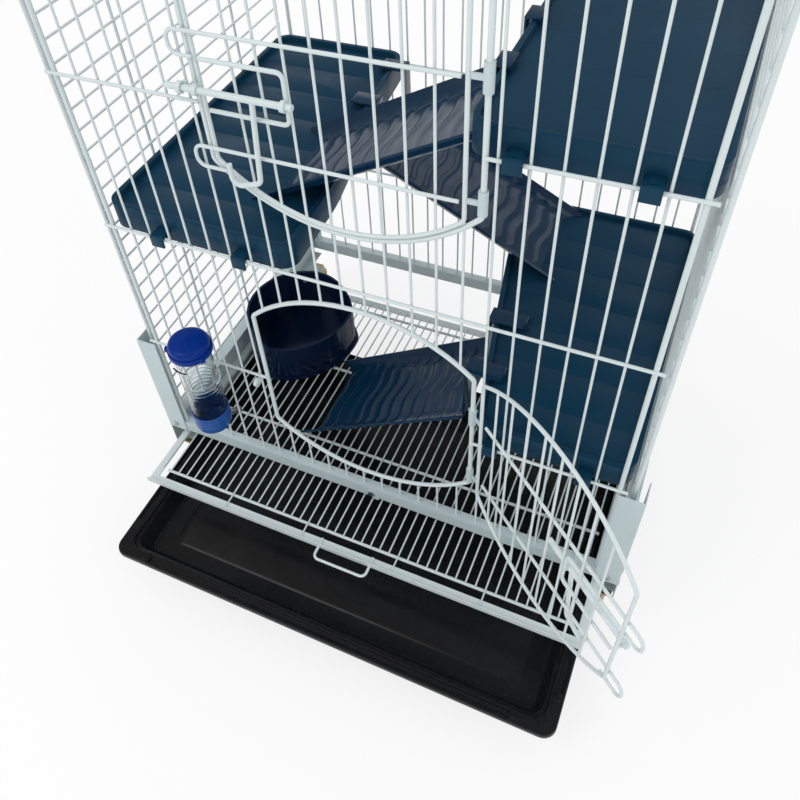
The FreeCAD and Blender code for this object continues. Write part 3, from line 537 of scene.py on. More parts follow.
def powder_coat(name, colour):
    """Baked coat: fine orange peel, a little uneven, rubbed duller in patches."""
    material, finish = new_finish(name)
    cloud = finish.noise(scale=7, detail=3)
    peel = finish.noise(scale=620, roughness=0.45)
    rub = finish.ramp(finish.noise(scale=38, detail=4, roughness=0.65), low=0.52, high=0.72)
    base = finish.blend(cloud, shade(colour, 0.90), shade(colour, 1.07))
    shader = finish.node("ShaderNodeBsdfPrincipled", None, {
        "Base Color": finish.blend(rub * 0.22, base, shade(colour, 0.80)),
        "Roughness": 0.33 + cloud * 0.10 + rub * 0.10,
        "Normal": finish.relief(peel, strength=0.16, distance=0.0004),
        "Coat Weight": 0.12,
        "Coat Roughness": 0.22,
    })
    finish.close(shader, "ShaderNodeOutputMaterial")
    return material


def moulded(name, colour, gloss, grain, depth, sheen):
    """Moulded plastic: fine grain, faint flow clouds, smears and rubbed spots."""
    material, finish = new_finish(name)
    flow = finish.noise(scale=5.5, detail=3, roughness=0.55, stretch=(1, 1.6, 1))
    smear = finish.ramp(finish.noise(scale=22, detail=5, roughness=0.62, stretch=(1.7, 1, 1)),
                        low=0.42, high=0.74)
    fine = finish.noise(scale=grain)
    scuff = finish.ramp(finish.noise(scale=130, detail=3, roughness=0.7, stretch=(1, 7, 1)),
                        low=0.66, high=0.80)
    base = finish.blend(flow, shade(colour, 0.82), shade(colour, 1.22))
    shader = finish.node("ShaderNodeBsdfPrincipled", None, {
        "Base Color": finish.blend(scuff * 0.16, base, shade(colour, 2.4)),
        "Roughness": gloss + smear * 0.13 + scuff * 0.08,
        "Normal": finish.relief(fine + scuff * 0.4, strength=depth, distance=0.0003),
        "Specular IOR Level": sheen,
    })
    finish.close(shader, "ShaderNodeOutputMaterial")
    return material


def clear_wall(name, colour):
    """Clear moulded wall with faint flow lines along it."""
    material, finish = new_finish(name)
    flow = finish.noise(scale=60, stretch=(1, 1, 0.12))
    haze = finish.noise(scale=30, detail=3, roughness=0.6)
    shader = finish.node("ShaderNodeBsdfPrincipled", None, {
        "Base Color": finish.blend(haze, shade(colour, 0.95), shade(colour, 1.04)),
        "Roughness": 0.03 + haze * 0.07,
        "Normal": finish.relief(flow, strength=0.12, distance=0.0006),
        "Transmission Weight": 1.0,
        "IOR": 1.12,
    })
    finish.close(shader, "ShaderNodeOutputMaterial")
    return material


def bare_metal(name, colour, gloss, grain):
    """Plated metal: drawn grain, cloudy plating, darker spots."""
    material, finish = new_finish(name)
    drawn = finish.noise(scale=grain, detail=3, roughness=0.6, stretch=(0.08, 1, 1))
    cloud = finish.noise(scale=45, detail=4, roughness=0.6)
    spot = finish.ramp(finish.noise(scale=260, detail=3, roughness=0.7), low=0.62, high=0.78)
    base = finish.blend(cloud, shade(colour, 0.80), shade(colour, 1.18))
    shader = finish.node("ShaderNodeBsdfPrincipled", None, {
        "Base Color": finish.blend(spot * 0.35, base, shade(colour, 0.45)),
        "Metallic": 1.0,
        "Roughness": gloss + cloud * 0.12 + spot * 0.15,
        "Normal": finish.relief(drawn, strength=0.10, distance=0.0002),
    })
    finish.close(shader, "ShaderNodeOutputMaterial")
    return material


FINISHES = {}


def make_finishes(colours):
    FINISHES.update({
        "pale_wire": powder_coat("wire_powder_coat", colours.wire),
        "pale_sheet": powder_coat("sheet_powder_coat", colours.sheet),
        "bright_steel": bare_metal("bright_zinc", colours.steel, gloss=0.24, grain=900),
        "caster_metal": bare_metal("yellow_zinc", colours.zinc, gloss=0.30, grain=700),
        "caster_wheel": moulded("wheel_plastic", colours.wheel, gloss=0.42, grain=900, depth=0.12, sheen=0.4),
        "shelf": moulded("shelf_plastic", colours.shelf, gloss=0.32, grain=1500, depth=0.14, sheen=0.14),
        "ramp": moulded("ramp_plastic", colours.ramp, gloss=0.14, grain=1700, depth=0.06, sheen=0.42),
        "bowl": moulded("bowl_plastic", colours.bowl, gloss=0.14, grain=1700, depth=0.06, sheen=0.45),
        "black_plastic": moulded("tray_plastic", colours.tray, gloss=0.22, grain=1100, depth=0.10,
                                 sheen=0.28),
        "blue_plastic": moulded("bottle_cap_plastic", colours.bottle, gloss=0.22, grain=1600, depth=0.05,
                                sheen=0.14),
        "cup": moulded("bottle_cup_plastic", colours.cup, gloss=0.18, grain=1600, depth=0.05, sheen=0.5),
        "clear_plastic": clear_wall("bottle_wall", colours.clear),
    })


# Pieces


class CAGE_OT_finishes(bpy.types.Operator):
    """Give every node of the frame its finish"""

    bl_idname = "cage.finishes"
    bl_label = "Wires, sheet and metal"

    def execute(self, context):
        make_finishes(context.scene.cage_colours)
        for part in frame["record"]["subparts"]:
            finish = FINISHES.get(part["material_slot"], FINISHES["shelf"])
            for holder in frame["nodes"][part["node"]].material_slots:
                holder.material = finish
        return {"FINISHED"}


# Each shelf's clips, counted in wires from the cage's middle
CLIP_WIRES = {"left_platform": (-9, -5), "lower_platform": (6, 10), "upper_platform": (6, 10)}
# Width of a slanted shelf's block, and how far its inner edge steps in at these shares of its depth
SLANT_DEPTHS = (0, 0.34, 0.7125, 1)
SLANTS = {
    "left_platform": (0.226, (0.044, 0.032, 0.005, 0)),
    "lower_platform": (0.223, (0.055, 0.029, 0.002, 0)),
}


def shelf_shell(name, low, high, sizes, slants, way):
    """Deck with a lip and a hollow skirt; slants gives the inner edge's (depth, shift) pairs."""
    piece = block(name, low, high)
    deck = high.z - sizes.lip_height
    floor = deck - sizes.groove_depth
    with Editing(piece) as edit:
        for depth, _ in slants[1:-1]:
            bpy.ops.mesh.select_all(action="SELECT")
            edit.cut((0, depth, 0), (0, 1, 0))
        for depth, shift in slants:
            edit.pick("verts", lambda vert: abs(vert.co.y - depth) < NEAR and abs(vert.co.x - low.x) < NEAR)
            edit.move(x=shift)
        edit.pick("edges", lambda edge: climbs(edge) and edge.calc_face_angle() > FLAT)
        bpy.ops.mesh.bevel(offset=sizes.corner, segments=7, affect="EDGES", clamp_overlap=True)
        edit.faces_at(Z, -1, low.z)
        bpy.ops.mesh.inset(thickness=sizes.wall)
        edit.extrude(z=deck - sizes.wall - low.z)
        edit.faces_at(Z, 1, high.z)
        bpy.ops.mesh.inset(thickness=sizes.lip_width)
        edit.extrude(z=-sizes.lip_height - sizes.groove_depth)
        if slants:
            bpy.ops.mesh.dissolve_faces()
        margin = sizes.row_pitch / 3
        place = way * sizes.row_shift - sizes.row_pitch * 4
        while place < high.y:
            if low.y + margin < place < high.y - margin:
                edit.faces_at(Z, 1, floor)
                edit.cut((0, place, 0), (0, 1, 0))
            place += sizes.row_pitch
        edit.faces_at(Z, 1, floor)
        bpy.ops.mesh.inset(thickness=sizes.groove_width, use_individual=True)
        edit.move(z=sizes.groove_depth)
        edit.outward()
    rounded(piece, sizes.edge_round)
    return piece


def wire_clip(name, x, level, sizes):
    """Hook over a front wire: a tongue, folded down at its tip, with a rib along it."""
    half = sizes.clip_width / 2
    tip = -sizes.clip_front
    fold = tip + sizes.clip_lip
    top = level + sizes.clip_top
    piece = block(name, (x - half, tip, level + sizes.clip_under), (x + half, -sizes.clip_back, top))
    with Editing(piece) as edit:
        edit.cut((0, fold, 0), (0, 1, 0))
        edit.pick("faces", lambda face: face.normal.z < -FACING and face.calc_center_median().y < fold)
        edit.extrude(z=-sizes.clip_drop)
        edit.faces_at(Z, 1, top)
        bpy.ops.mesh.inset(thickness=half * sizes.clip_side)
        edit.move(z=sizes.clip_rib)
        edit.outward()
    rounded(piece, sizes.clip_round)
    return piece


class CAGE_OT_shelves(bpy.types.Operator):
    """Model the three moulded shelves with their wire clips"""

    bl_idname = "cage.shelves"
    bl_label = "Shelves"

    def execute(self, context):
        sizes = context.scene.cage_shelves
        for node, wires in CLIP_WIRES.items():
            low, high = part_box(node)
            low.y = -high.y
            way = -1 if node == "left_platform" else 1
            if way < 0:
                low.x, high.x = -high.x, -low.x
            slants = ()
            if node in SLANTS:
                width, shifts = SLANTS[node]
                low.x = high.x - width
                deep = high.y - low.y
                slants = tuple((low.y + part * deep, shift) for part, shift in zip(SLANT_DEPTHS, shifts))
            shell = shelf_shell(node.replace("platform", "shelf"), low, high, sizes, slants, way)
            if way < 0:
                settle(shell, turn=(0, 0, math.pi))
            level = low.z + sizes.wire_height
            clips = [wire_clip("clip", wire * sizes.wire_pitch, level, sizes) for wire in wires]
            piece = joined([shell] + clips)
            smooth(piece, angle=35)
            dressed(piece, FINISHES["shelf"], "cage", "navy_plastic", node)
        return {"FINISHED"}


# Columns of faces from one ridge of a ramp to the next, and each raised one's share of the ridge's height
RIDGE_COLUMNS = 6
RIDGE_RISES = ((2, 0.2), (3, 1.0), (4, 0.2))
TROUGH_ROWS = 40


def trough(name, sizes, foot, run, rise, hook_top, reach, tip):
    """Ridged trough rising towards +X from the foot, with two hooks over the shelf's lip."""
    foot = Vector(foot)
    angle = math.atan2(rise, run)
    slope = math.hypot(run, rise)
    columns = RIDGE_COLUMNS * (sizes.ridges + 2)
    long = slope + 2 * slope / sizes.ridges
    wide = sizes.width
    piece = begin(name, bpy.ops.mesh.primitive_grid_add, x_subdivisions=columns, y_subdivisions=TROUGH_ROWS,
                  size=1)
    piece.scale = (long, wide, 1)
    settle(piece)
    wall_rise = sizes.wall_rise * math.cos(angle)
    flat = wide / 2 - math.sqrt(sizes.trough ** 2 - (sizes.trough - wall_rise) ** 2)
    ridged = flat + (wide / 2 - flat) * sizes.ridge_reach
    places = [row * wide / TROUGH_ROWS - wide / 2 for row in range(TROUGH_ROWS + 1)]
    with Editing(piece) as edit:
        for across in places:
            if across > flat:
                edit.pick("verts", lambda vert: abs(abs(vert.co.y) - across) < NEAR)
                edit.move(z=sizes.trough - math.sqrt(sizes.trough ** 2 - (across - flat) ** 2))
        for phase, part in RIDGE_RISES:
            edit.pick("verts", lambda vert: abs(vert.co.y) < ridged
                      and round((vert.co.x / long + 0.5) * columns) % RIDGE_COLUMNS == phase)
            bpy.ops.transform.shrink_fatten(value=sizes.ridge_height * part)
        for across in places:
            edit.pick("verts", lambda vert: abs(vert.co.y - across) < NEAR)
            edit.move(x=sizes.wave * math.sin(2 * math.tau * across / wide))
    finished(piece, "SOLIDIFY", thickness=sizes.wall, offset=-1, use_even_offset=False)
    settle(piece, (foot.x + run / 2, foot.y, foot.z + rise / 2), (0, -angle, 0))
    edge = foot.x + run
    with Editing(piece) as edit:
        edit.cut((0, 0, foot.z), (0, 0, 1), clear_inner=True, use_fill=True)
        bpy.ops.mesh.select_all(action="SELECT")
        edit.cut((edge, 0, 0), (1, 0, 0), clear_outer=True, use_fill=True)
    half = wide / 2 - sizes.hook_inset
    pieces = [piece]
    for low, high in ((-half, sizes.tongue - half), (half - sizes.tongue, half)):
        hook = block(name + "_hook", (edge - sizes.wall, foot.y + low, foot.z + rise - 2 * sizes.wall),
                     (edge, foot.y + high, hook_top))
        with Editing(hook) as edit:
            edit.faces_at(Z, 1, hook_top)
            edit.extrude(z=sizes.wall)
            edit.pick("faces", lambda face: face.normal.x > FACING
                      and face.calc_center_median().z > hook_top)
            edit.extrude(x=reach - sizes.wall)
            edit.extrude(x=sizes.wall)
            if tip:
                edit.pick("faces", lambda face: face.normal.z < -FACING
                          and face.calc_center_median().x > edge + reach - sizes.wall)
                edit.extrude(z=-tip)
            edit.outward()
        rounded(hook, sizes.hook_round)
        pieces.append(hook)
    return joined(pieces)


class CAGE_OT_ramps(bpy.types.Operator):
    """Model the three ridged ramps"""

    bl_idname = "cage.ramps"
    bl_label = "Ramps"

    def execute(self, context):
        sizes = context.scene.cage_ramps
        half = sizes.width / 2
        plans = {
            "lower_ramp": dict(foot=(-0.1165, -0.152 + half, 0.0928), run=0.212, rise=0.1344,
                               hook_top=0.3027, reach=0.042, tip=0),
            "upper_ramp": dict(foot=(-0.12725, -0.134 + half, 0.4837), run=0.233, rise=0.1245,
                               hook_top=0.6693, reach=0.0123, tip=0.003),
            "middle_ramp": dict(foot=(-0.124, -0.050 - half, 0.2977), run=0.222, rise=0.117,
                                hook_top=0.4887, reach=0.030, tip=0),
        }
        for node, plan in plans.items():
            piece = trough(node.replace("_ramp", "_ridged_ramp"), sizes, **plan)
            if node == "middle_ramp":
                settle(piece, turn=(0, 0, math.pi))
            smooth(piece, angle=38)
            dressed(piece, FINISHES["ramp"], "cage", "navy_plastic", node)
        return {"FINISHED"}


SWEEP_ROWS = 40
SWEEP_REACH = 2.4  # size of the rim's cutter, in radii of the bowl


def bowl_prism(name, inset, low, high, sizes):
    """Round back, bowed front and rounded front corners, between two heights."""
    def drum(radius, y):
        return settle(begin(name, bpy.ops.mesh.primitive_cylinder_add, vertices=160, radius=radius - inset,
                            depth=high - low, location=(0, y, (low + high) / 2)))

    piece = drum(sizes.radius, 0)
    carved(piece, drum(sizes.bow, sizes.bow - sizes.front), "INTERSECT")
    with Editing(piece) as edit:
        edit.pick("edges", lambda edge: climbs(edge, (high - low) / 2) and edge.calc_face_angle() > SHARP)
        bpy.ops.mesh.bevel(offset=sizes.corner - inset, offset_type="WIDTH", segments=10, affect="EDGES")
        edit.outward()
    return piece


class CAGE_OT_bowl(bpy.types.Operator):
    """Model the food bowl"""

    bl_idname = "cage.bowl"
    bl_label = "Food bowl"

    def execute(self, context):
        sizes = context.scene.cage_bowl
        bowl = bowl_prism("food_bowl", 0, 0, sizes.back_height, sizes)
        carved(bowl, bowl_prism("foot", -sizes.foot, 0, sizes.foot, sizes), "UNION")
        carved(bowl, bowl_prism("hollow", sizes.wall, sizes.floor, 2 * sizes.back_height, sizes))
        carved(bowl, self.sweep(sizes))
        for way in (-1, 1):
            hole = begin("hole", bpy.ops.mesh.primitive_cylinder_add, vertices=24, radius=sizes.hole,
                         depth=2 * sizes.front, rotation=(math.pi / 2, 0, 0),
                         location=(0, 2 * sizes.front, sizes.back_height - sizes.hole_drop))
            carved(bowl, settle(hole, turn=(0, 0, -way * sizes.hole_turn)))
        rounded(bowl, sizes.rim_round, 3, angle=40)
        low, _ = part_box("bowl")
        settle(bowl, (sizes.middle.x, sizes.middle.y, low.z), (0, 0, sizes.turn))
        smooth(bowl, angle=35)
        dressed(bowl, FINISHES["bowl"], "grate", "navy_plastic", "bowl")
        return {"FINISHED"}

    def sweep(self, sizes):
        """Block whose underside rises smoothly from the low front to the high back, to cut the rim."""
        reach = SWEEP_REACH * sizes.radius
        sweep = settle(begin("sweep", bpy.ops.mesh.primitive_grid_add, x_subdivisions=1,
                             y_subdivisions=SWEEP_ROWS, size=reach))
        with Editing(sweep) as edit:
            for row in range(SWEEP_ROWS + 1):
                y = row * reach / SWEEP_ROWS - reach / 2
                part = min(1, max(0, (y + sizes.front) / (sizes.front + sizes.rise_end)))
                rise = part * part * (3 - 2 * part)
                edit.pick("verts", lambda vert: abs(vert.co.y - y) < NEAR)
                edit.move(z=sizes.front_height + (sizes.back_height - sizes.front_height) * rise)
            edit.pick("faces", lambda face: True)
            edit.extrude(z=reach)
            edit.outward()
        return settle(sweep, (0, 0, -sizes.rim_cut))


# Rings of the bottle's turned pieces: inset from the outer radius, and rise from a level
TUBE_FOOT = ((0.004, 0), (0.001, 0.0012), (0, 0.004))
CUP_FOOT = ((0.007, 0), (0.003, 0.0012), (0.0008, 0.0045), (0.0006, 0.009))
CUP_RIB = ((0.0006, 0), (0, 0.0012), (0, 0.0028), (0.0006, 0.004))
CUP_RIM = ((0.0006, -0.004), (0, -0.003), (0, -0.0006), (0.0006, 0))
CAP_CROWN = ((0.017, -0.0003),)
DOME_STEPS = 6
NUB_TURNS = (100, 205, 335)


class CAGE_OT_bottle(bpy.types.Operator):
    """Model the bottle's ribbed tube, its lower cup and its cap with nubs and strap"""

    bl_idname = "cage.bottle"
    bl_label = "Drinking bottle"

    def execute(self, context):
        sizes = context.scene.cage_bottle
        low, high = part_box("bottle_tube")
        axis = ((low.x + high.x) / 2, (low.y + high.y) / 2, 0)
        radius = (high.x - low.x) / 2
        inner = radius - sizes.wall
        floor = low.z + sizes.wall
        step = sizes.rib_pitch / 6
        groove = ((0, 0), (sizes.rib_depth, step), (sizes.rib_depth, 2 * step), (0, 3 * step))
        levels = [low.z + sizes.rib_start + index * sizes.rib_pitch for index in range(sizes.ribs)]
        rings = rings_of(TUBE_FOOT, radius, low.z)
        for level in levels:
            rings += rings_of(groove, radius, level)
        rings += [(radius, high.z), (inner, high.z)]
        for level in reversed(levels):
            rings += rings_of(groove[::-1], inner, level)
        rings += [(inner, low.z + sizes.floor_start), (inner - sizes.floor_round, floor), (PIN, floor)]
        tube = turned("ribbed_tube", rings)
        settle(tube, axis)
        smooth(tube, angle=50)
        dressed(tube, FINISHES["clear_plastic"], "cage", "clear_plastic", "bottle_tube")
        self.cup(axis, sizes)
        self.cap(axis, sizes)
        return {"FINISHED"}

    def cup(self, axis, sizes):
        low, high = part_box("bottle_cup")
        radius = (high.x - low.x) / 2
        bore = radius - sizes.cup_wall
        floor = low.z + sizes.cup_floor
        rings = [(PIN, low.z)] + rings_of(CUP_FOOT, radius, low.z)
        for index in range(sizes.cup_ribs):
            rings += rings_of(CUP_RIB, radius, low.z + sizes.cup_rib_start + index * sizes.cup_rib_pitch)
        rings += rings_of(CUP_RIM, radius, high.z) + [(bore, high.z), (bore, floor), (PIN, floor)]
        cup = turned("lower_cup", rings, closed=True)
        settle(cup, axis)
        smooth(cup, angle=45)
        dressed(cup, FINISHES["cup"], "cage", "blue_plastic", "bottle_cup")

    def cap(self, axis, sizes):
        low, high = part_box("bottle_cap")
        radius = (high.x - low.x) / 2
        outer = radius - sizes.cap_inset
        bore = outer - sizes.cap_wall
        under = high.z - sizes.cap_top
        rings = [(bore, low.z), (outer, low.z), (outer, high.z - sizes.dome - sizes.dome_start)]
        for step in range(DOME_STEPS + 1):
            bend = step * math.pi / 2 / DOME_STEPS
            rings.append((outer - sizes.dome * (1 - math.cos(bend)),
                          high.z - sizes.dome * (1 - math.sin(bend)) - sizes.dome_drop))
        rings += rings_of(CAP_CROWN, outer, high.z) + [(PIN, high.z), (PIN, under), (bore, under)]
        cap = turned("cap", rings, closed=True)
        pieces = [cap, self.band(low.z, outer, radius, sizes)]
        pieces += [self.nub(high.z, outer, turn, sizes) for turn in NUB_TURNS]
        pieces.append(self.tab(low.z, radius, sizes))
        cap = joined(pieces)
        settle(cap, axis)
        smooth(cap, angle=40)
        cap.name = "cap_with_strap"
        dressed(cap, FINISHES["blue_plastic"], "cage", "blue_plastic", "bottle_cap")

    def band(self, level, outer, radius, sizes):
        sunk = outer - sizes.band_sink
        foot = level + sizes.band_low
        top = level + sizes.band_high
        band = turned("band", [(sunk, foot), (radius, foot), (radius, top), (sunk, top)], closed=True)
        rounded(band, sizes.band_round)
        return band

    def nub(self, level, outer, turn, sizes):
        tip = outer + sizes.nub
        half = sizes.nub_width / 2
        top = level - sizes.nub_drop
        nub = block("nub", (outer - sizes.nub_root, -half, top - sizes.nub_width), (tip, half, top))
        with Editing(nub) as edit:
            edit.faces_at(X, 1, tip)
            edit.widen(1, sizes.nub_taper, sizes.nub_taper, (tip, 0, top - half))
        rounded(nub, sizes.nub_round, 3)
        return settle(nub, turn=(0, 0, math.radians(turn)))

    def tab(self, level, radius, sizes):
        tab = begin("tab", bpy.ops.mesh.primitive_plane_add, size=1)
        tab.scale = (sizes.tab_thick, sizes.tab_edge, 1)
        settle(tab, (radius - sizes.tab_thick / 2, 0, level - sizes.tab_drop))
        with Editing(tab) as edit:
            bpy.ops.mesh.spin(steps=10, angle=sizes.tab_span, center=(0, 0, level), axis=(0, 0, 1))
            bpy.ops.mesh.select_all(action="SELECT")
            edit.extrude(z=sizes.tab_drop + sizes.tab_overlap)
            edit.outward()
        rounded(tab, sizes.tab_round)
        return settle(tab, turn=(0, 0, sizes.tab_turn))


# Steps across the tray's rim and down in its well: way in from the last step, and rise
RIM_STEPS = ((0.0066, 0), (0.0008, 0.0022), (0.0034, 0), (0.0012, -0.0034))
WELL_STEPS = ((0.004, -0.003), (0.020, 0), (0.002, 0.0012))
# A pad's nub: inset and rise of its side, then radius and rise of the dimple in it
NUB_RISE = 0.0005
NUB_SIDE = ((0, -0.001), (0, 0.0002), (0.0006, NUB_RISE))
NUB_DIMPLE = [(0.0016, NUB_RISE), (0.0012, -0.0006)]


class CAGE_OT_tray(bpy.types.Operator):
    """Model the litter tray with its ridged rim, corner pads and nubs"""

    bl_idname = "cage.tray"
    bl_label = "Litter tray"

    def execute(self, context):
        sizes = context.scene.cage_tray
        low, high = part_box("tray")
        top = high.z - sizes.rim_drop
        rim_low = top - sizes.rim_thick
        centre = (low + high) / 2
        ridge = sizes.ridge
        deep = top - low.z - sizes.wall
        stepped = sizes.ridge_fall + sum(inward for inward, _ in RIM_STEPS)
        fallen = sizes.lip_fall - sum(rise for _, rise in RIM_STEPS)
        inside = ((ridge * sizes.ridge_side, sizes.ridge_rise), (ridge * (1 - sizes.ridge_side), 0),
                  (sizes.ridge_fall, -sizes.ridge_rise), *RIM_STEPS,
                  (sizes.rim - ridge - stepped, -sizes.lip_fall),
                  (sizes.slope, fallen - WELL_STEPS[0][1] - deep), *WELL_STEPS)
        outside = ((sizes.rim - sizes.wall, 0), (0, -sizes.wall_step),
                   (sizes.slope, low.z - rim_low + sizes.wall_step))
        piece = block("formed_tray", (low.x, low.y, rim_low), (high.x, high.y, top))
        with Editing(piece) as edit:
            edit.pick("edges", climbs)
            bpy.ops.mesh.bevel(offset=sizes.corner, segments=8, affect="EDGES")
            edit.faces_at(Z, 1, top)
            self.steps(edit, inside, centre, high - low)
            edit.faces_at(Z, -1, rim_low)
            self.steps(edit, outside, centre, high - low)
            edit.outward()
        rounded(piece, sizes.edge_round, angle=30)
        pieces = [piece]
        pad = self.pad(sizes, high.z - NUB_RISE - rim_low)
        corners = ((high.x, low.y), (high.x, high.y), (low.x, high.y), (low.x, low.y))
        for quarter, (x, y) in enumerate(corners):
            pieces.append(copied(pad, (x, y, rim_low + sizes.pad_lift), (0, 0, quarter * math.pi / 2)))
        bpy.data.objects.remove(pad)
        piece = joined(pieces)
        smooth(piece, angle=35)
        dressed(piece, FINISHES["black_plastic"], "tray", "black_plastic", "tray")
        return {"FINISHED"}

    def steps(self, edit, plan, centre, size):
        """Extrude the picked face step by step, each a way in from the rim and a rise."""
        across, along = size.xy
        for inward, rise in plan:
            edit.extrude(z=rise)
            edit.widen(1 - 2 * inward / across, 1 - 2 * inward / along, 1, centre)
            across -= 2 * inward
            along -= 2 * inward

    def pad(self, sizes, thick):
        """Corner pad in the corner -X+Y of its own origin: an L shaped plate with a nub at each end."""
        out = sizes.pad_inset
        arm = sizes.rim - sizes.pad_gap

        def outer(edge):
            corner = edge.verts[0].co
            return climbs(edge) and abs(corner.x + out) < NEAR and abs(corner.y - out) < NEAR

        def inner(edge):
            corner = edge.verts[0].co.xy
            return climbs(edge) and (abs(corner.x + sizes.pad) < NEAR or abs(corner.y - sizes.pad) < NEAR
                                     or (corner - Vector((-arm, arm))).length < FLUSH)

        pad = block("pad", (-sizes.pad, out, 0), (-out, arm, thick))
        with Editing(pad) as edit:
            edit.cut((-arm, 0, 0), (1, 0, 0))
            edit.pick("faces", lambda face: face.normal.y > FACING and face.calc_center_median().x > -arm)
            edit.extrude(y=sizes.pad - arm)
            edit.pick("edges", outer)
            bpy.ops.mesh.bevel(offset=sizes.corner - out, segments=8, affect="EDGES")
            edit.pick("edges", inner)
            bpy.ops.mesh.bevel(offset=sizes.pad_round, segments=6, affect="EDGES")
        rounded(pad, sizes.pad_edge)
        pieces = [pad]
        middle = arm / 2
        for place in ((-sizes.pad + middle, middle, thick), (-middle, sizes.pad - middle, thick)):
            nub = turned("nub", rings_of(NUB_SIDE, sizes.nub, 0) + NUB_DIMPLE, sides=24)
            pieces.append(settle(nub, place))
        return joined(pieces)


SHOULDER_STEPS = 5


class CAGE_OT_wheels(bpy.types.Operator):
    """Model the caster wheels"""

    bl_idname = "cage.wheels"
    bl_label = "Caster wheels"

    def execute(self, context):
        sizes = context.scene.cage_casters
        for corner in ("front_left", "front_right", "back_left", "back_right"):
            node = corner + "_wheel"
            low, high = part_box(node)
            radius = (high.z - low.z) / 2
            half = (high.x - low.x) / 2
            web = half - sizes.recess
            edge = sizes.edge
            tyre = radius - sizes.tyre
            rings = [(sizes.bore, half), (sizes.hub - edge, half), (sizes.hub, half - edge),
                     (sizes.hub + edge, web), (tyre - edge, web), (tyre, half - sizes.tyre_step),
                     (tyre + edge, half)]
            for step in range(SHOULDER_STEPS + 1):
                bend = step * math.pi / 2 / SHOULDER_STEPS
                rings.append((radius - sizes.shoulder * (1 - math.sin(bend)) - sizes.seam_rise,
                              half - sizes.shoulder * (1 - math.cos(bend)) * sizes.shoulder_flat))
            rings.append((radius, sizes.seam))
            rings += [(wide, -side) for wide, side in reversed(rings)]
            wheel = turned(corner + "_rolled_wheel", rings, closed=True, sides=64)
            settle(wheel, (low + high) / 2, (0, math.pi / 2, 0))
            smooth(wheel, angle=40)
            dressed(wheel, FINISHES["caster_wheel"], node, "caster_wheel", node)
        return {"FINISHED"}


# Profile of a screw's head as shares of its radius and height, and the screws' places in a corner post
SCREW_HEAD = ((1, 0), (1, 0.3), (0.93, 0.6), (0.75, 0.85), (0.4, 0.98))
FACE_SCREW = (0.3033, 0.2147, 0.1075)
SIDE_SCREWS = ((0.3155, 0.1957, 0.102), (0.3155, 0.1957, 0.070))


class CAGE_OT_screws(bpy.types.Operator):
    """Model one cross head screw and set it in the corner posts"""

    bl_idname = "cage.screws"
    bl_label = "Corner screws"

    def execute(self, context):
        sizes = context.scene.cage_casters
        screw = self.screw(sizes, sizes.screw_head, sizes.screw_rise)
        pieces = []
        for x in (-1, 1):
            for y in (-1, 1):
                across, along, height = FACE_SCREW
                pieces.append(copied(screw, (x * across, y * along, height), (-y * math.pi / 2, 0, 0)))
                for across, along, height in SIDE_SCREWS:
                    pieces.append(copied(screw, (x * across, y * along, height), (0, x * math.pi / 2, 0)))
        bpy.data.objects.remove(screw)
        piece = joined(pieces)
        piece.name = "corner_screws"
        smooth(piece, angle=35)
        dressed(piece, FINISHES["bright_steel"], "cage", "bright_steel", "post_screws")
        return {"FINISHED"}

    def screw(self, sizes, head, rise):
        rings = [(sizes.shank, -sizes.shank_depth), (sizes.shank, 0)]
        rings += [(head * wide, rise * high) for wide, high in SCREW_HEAD]
        screw = turned("screw", rings + [(sizes.screw_tip, rise)], sides=32)
        reach = head * sizes.cross_reach
        half = sizes.cross / 2
        for turn in (0, math.pi / 2):
            bar = block("bar", (-reach, -half, rise * sizes.cross_floor), (reach, half, 2 * rise))
            carved(screw, settle(bar, turn=(0, 0, turn)))
        return screw


# The photograph's camera, fitted to the front panel's corners and bars
CAMERA_PLACE = (0.2772, -0.6953, 0.9962)
CAMERA_RIGHT = (0.90853, 0.41271, -0.06512)
CAMERA_UP = (-0.26093, 0.68218, 0.68305)
CAMERA_SHIFT = (0.0397, -0.084)
CAMERA_NEAR = 0.01
# Each lamp's setting for its power, its width and its place
LAMPS = {
    "key_lamp": ("key", 2.4, (-1.6, -1.9, 2.9)),
    "fill_lamp": ("fill", 2.0, (2.4, -0.8, 2.2)),
    "left_gloss_lamp": ("gloss", 1.4, (-1.5, 2.0, 1.1)),
    "right_gloss_lamp": ("gloss", 1.1, (0.75, 2.2, 2.0)),
}
WHITE = (1, 1, 1, 1)


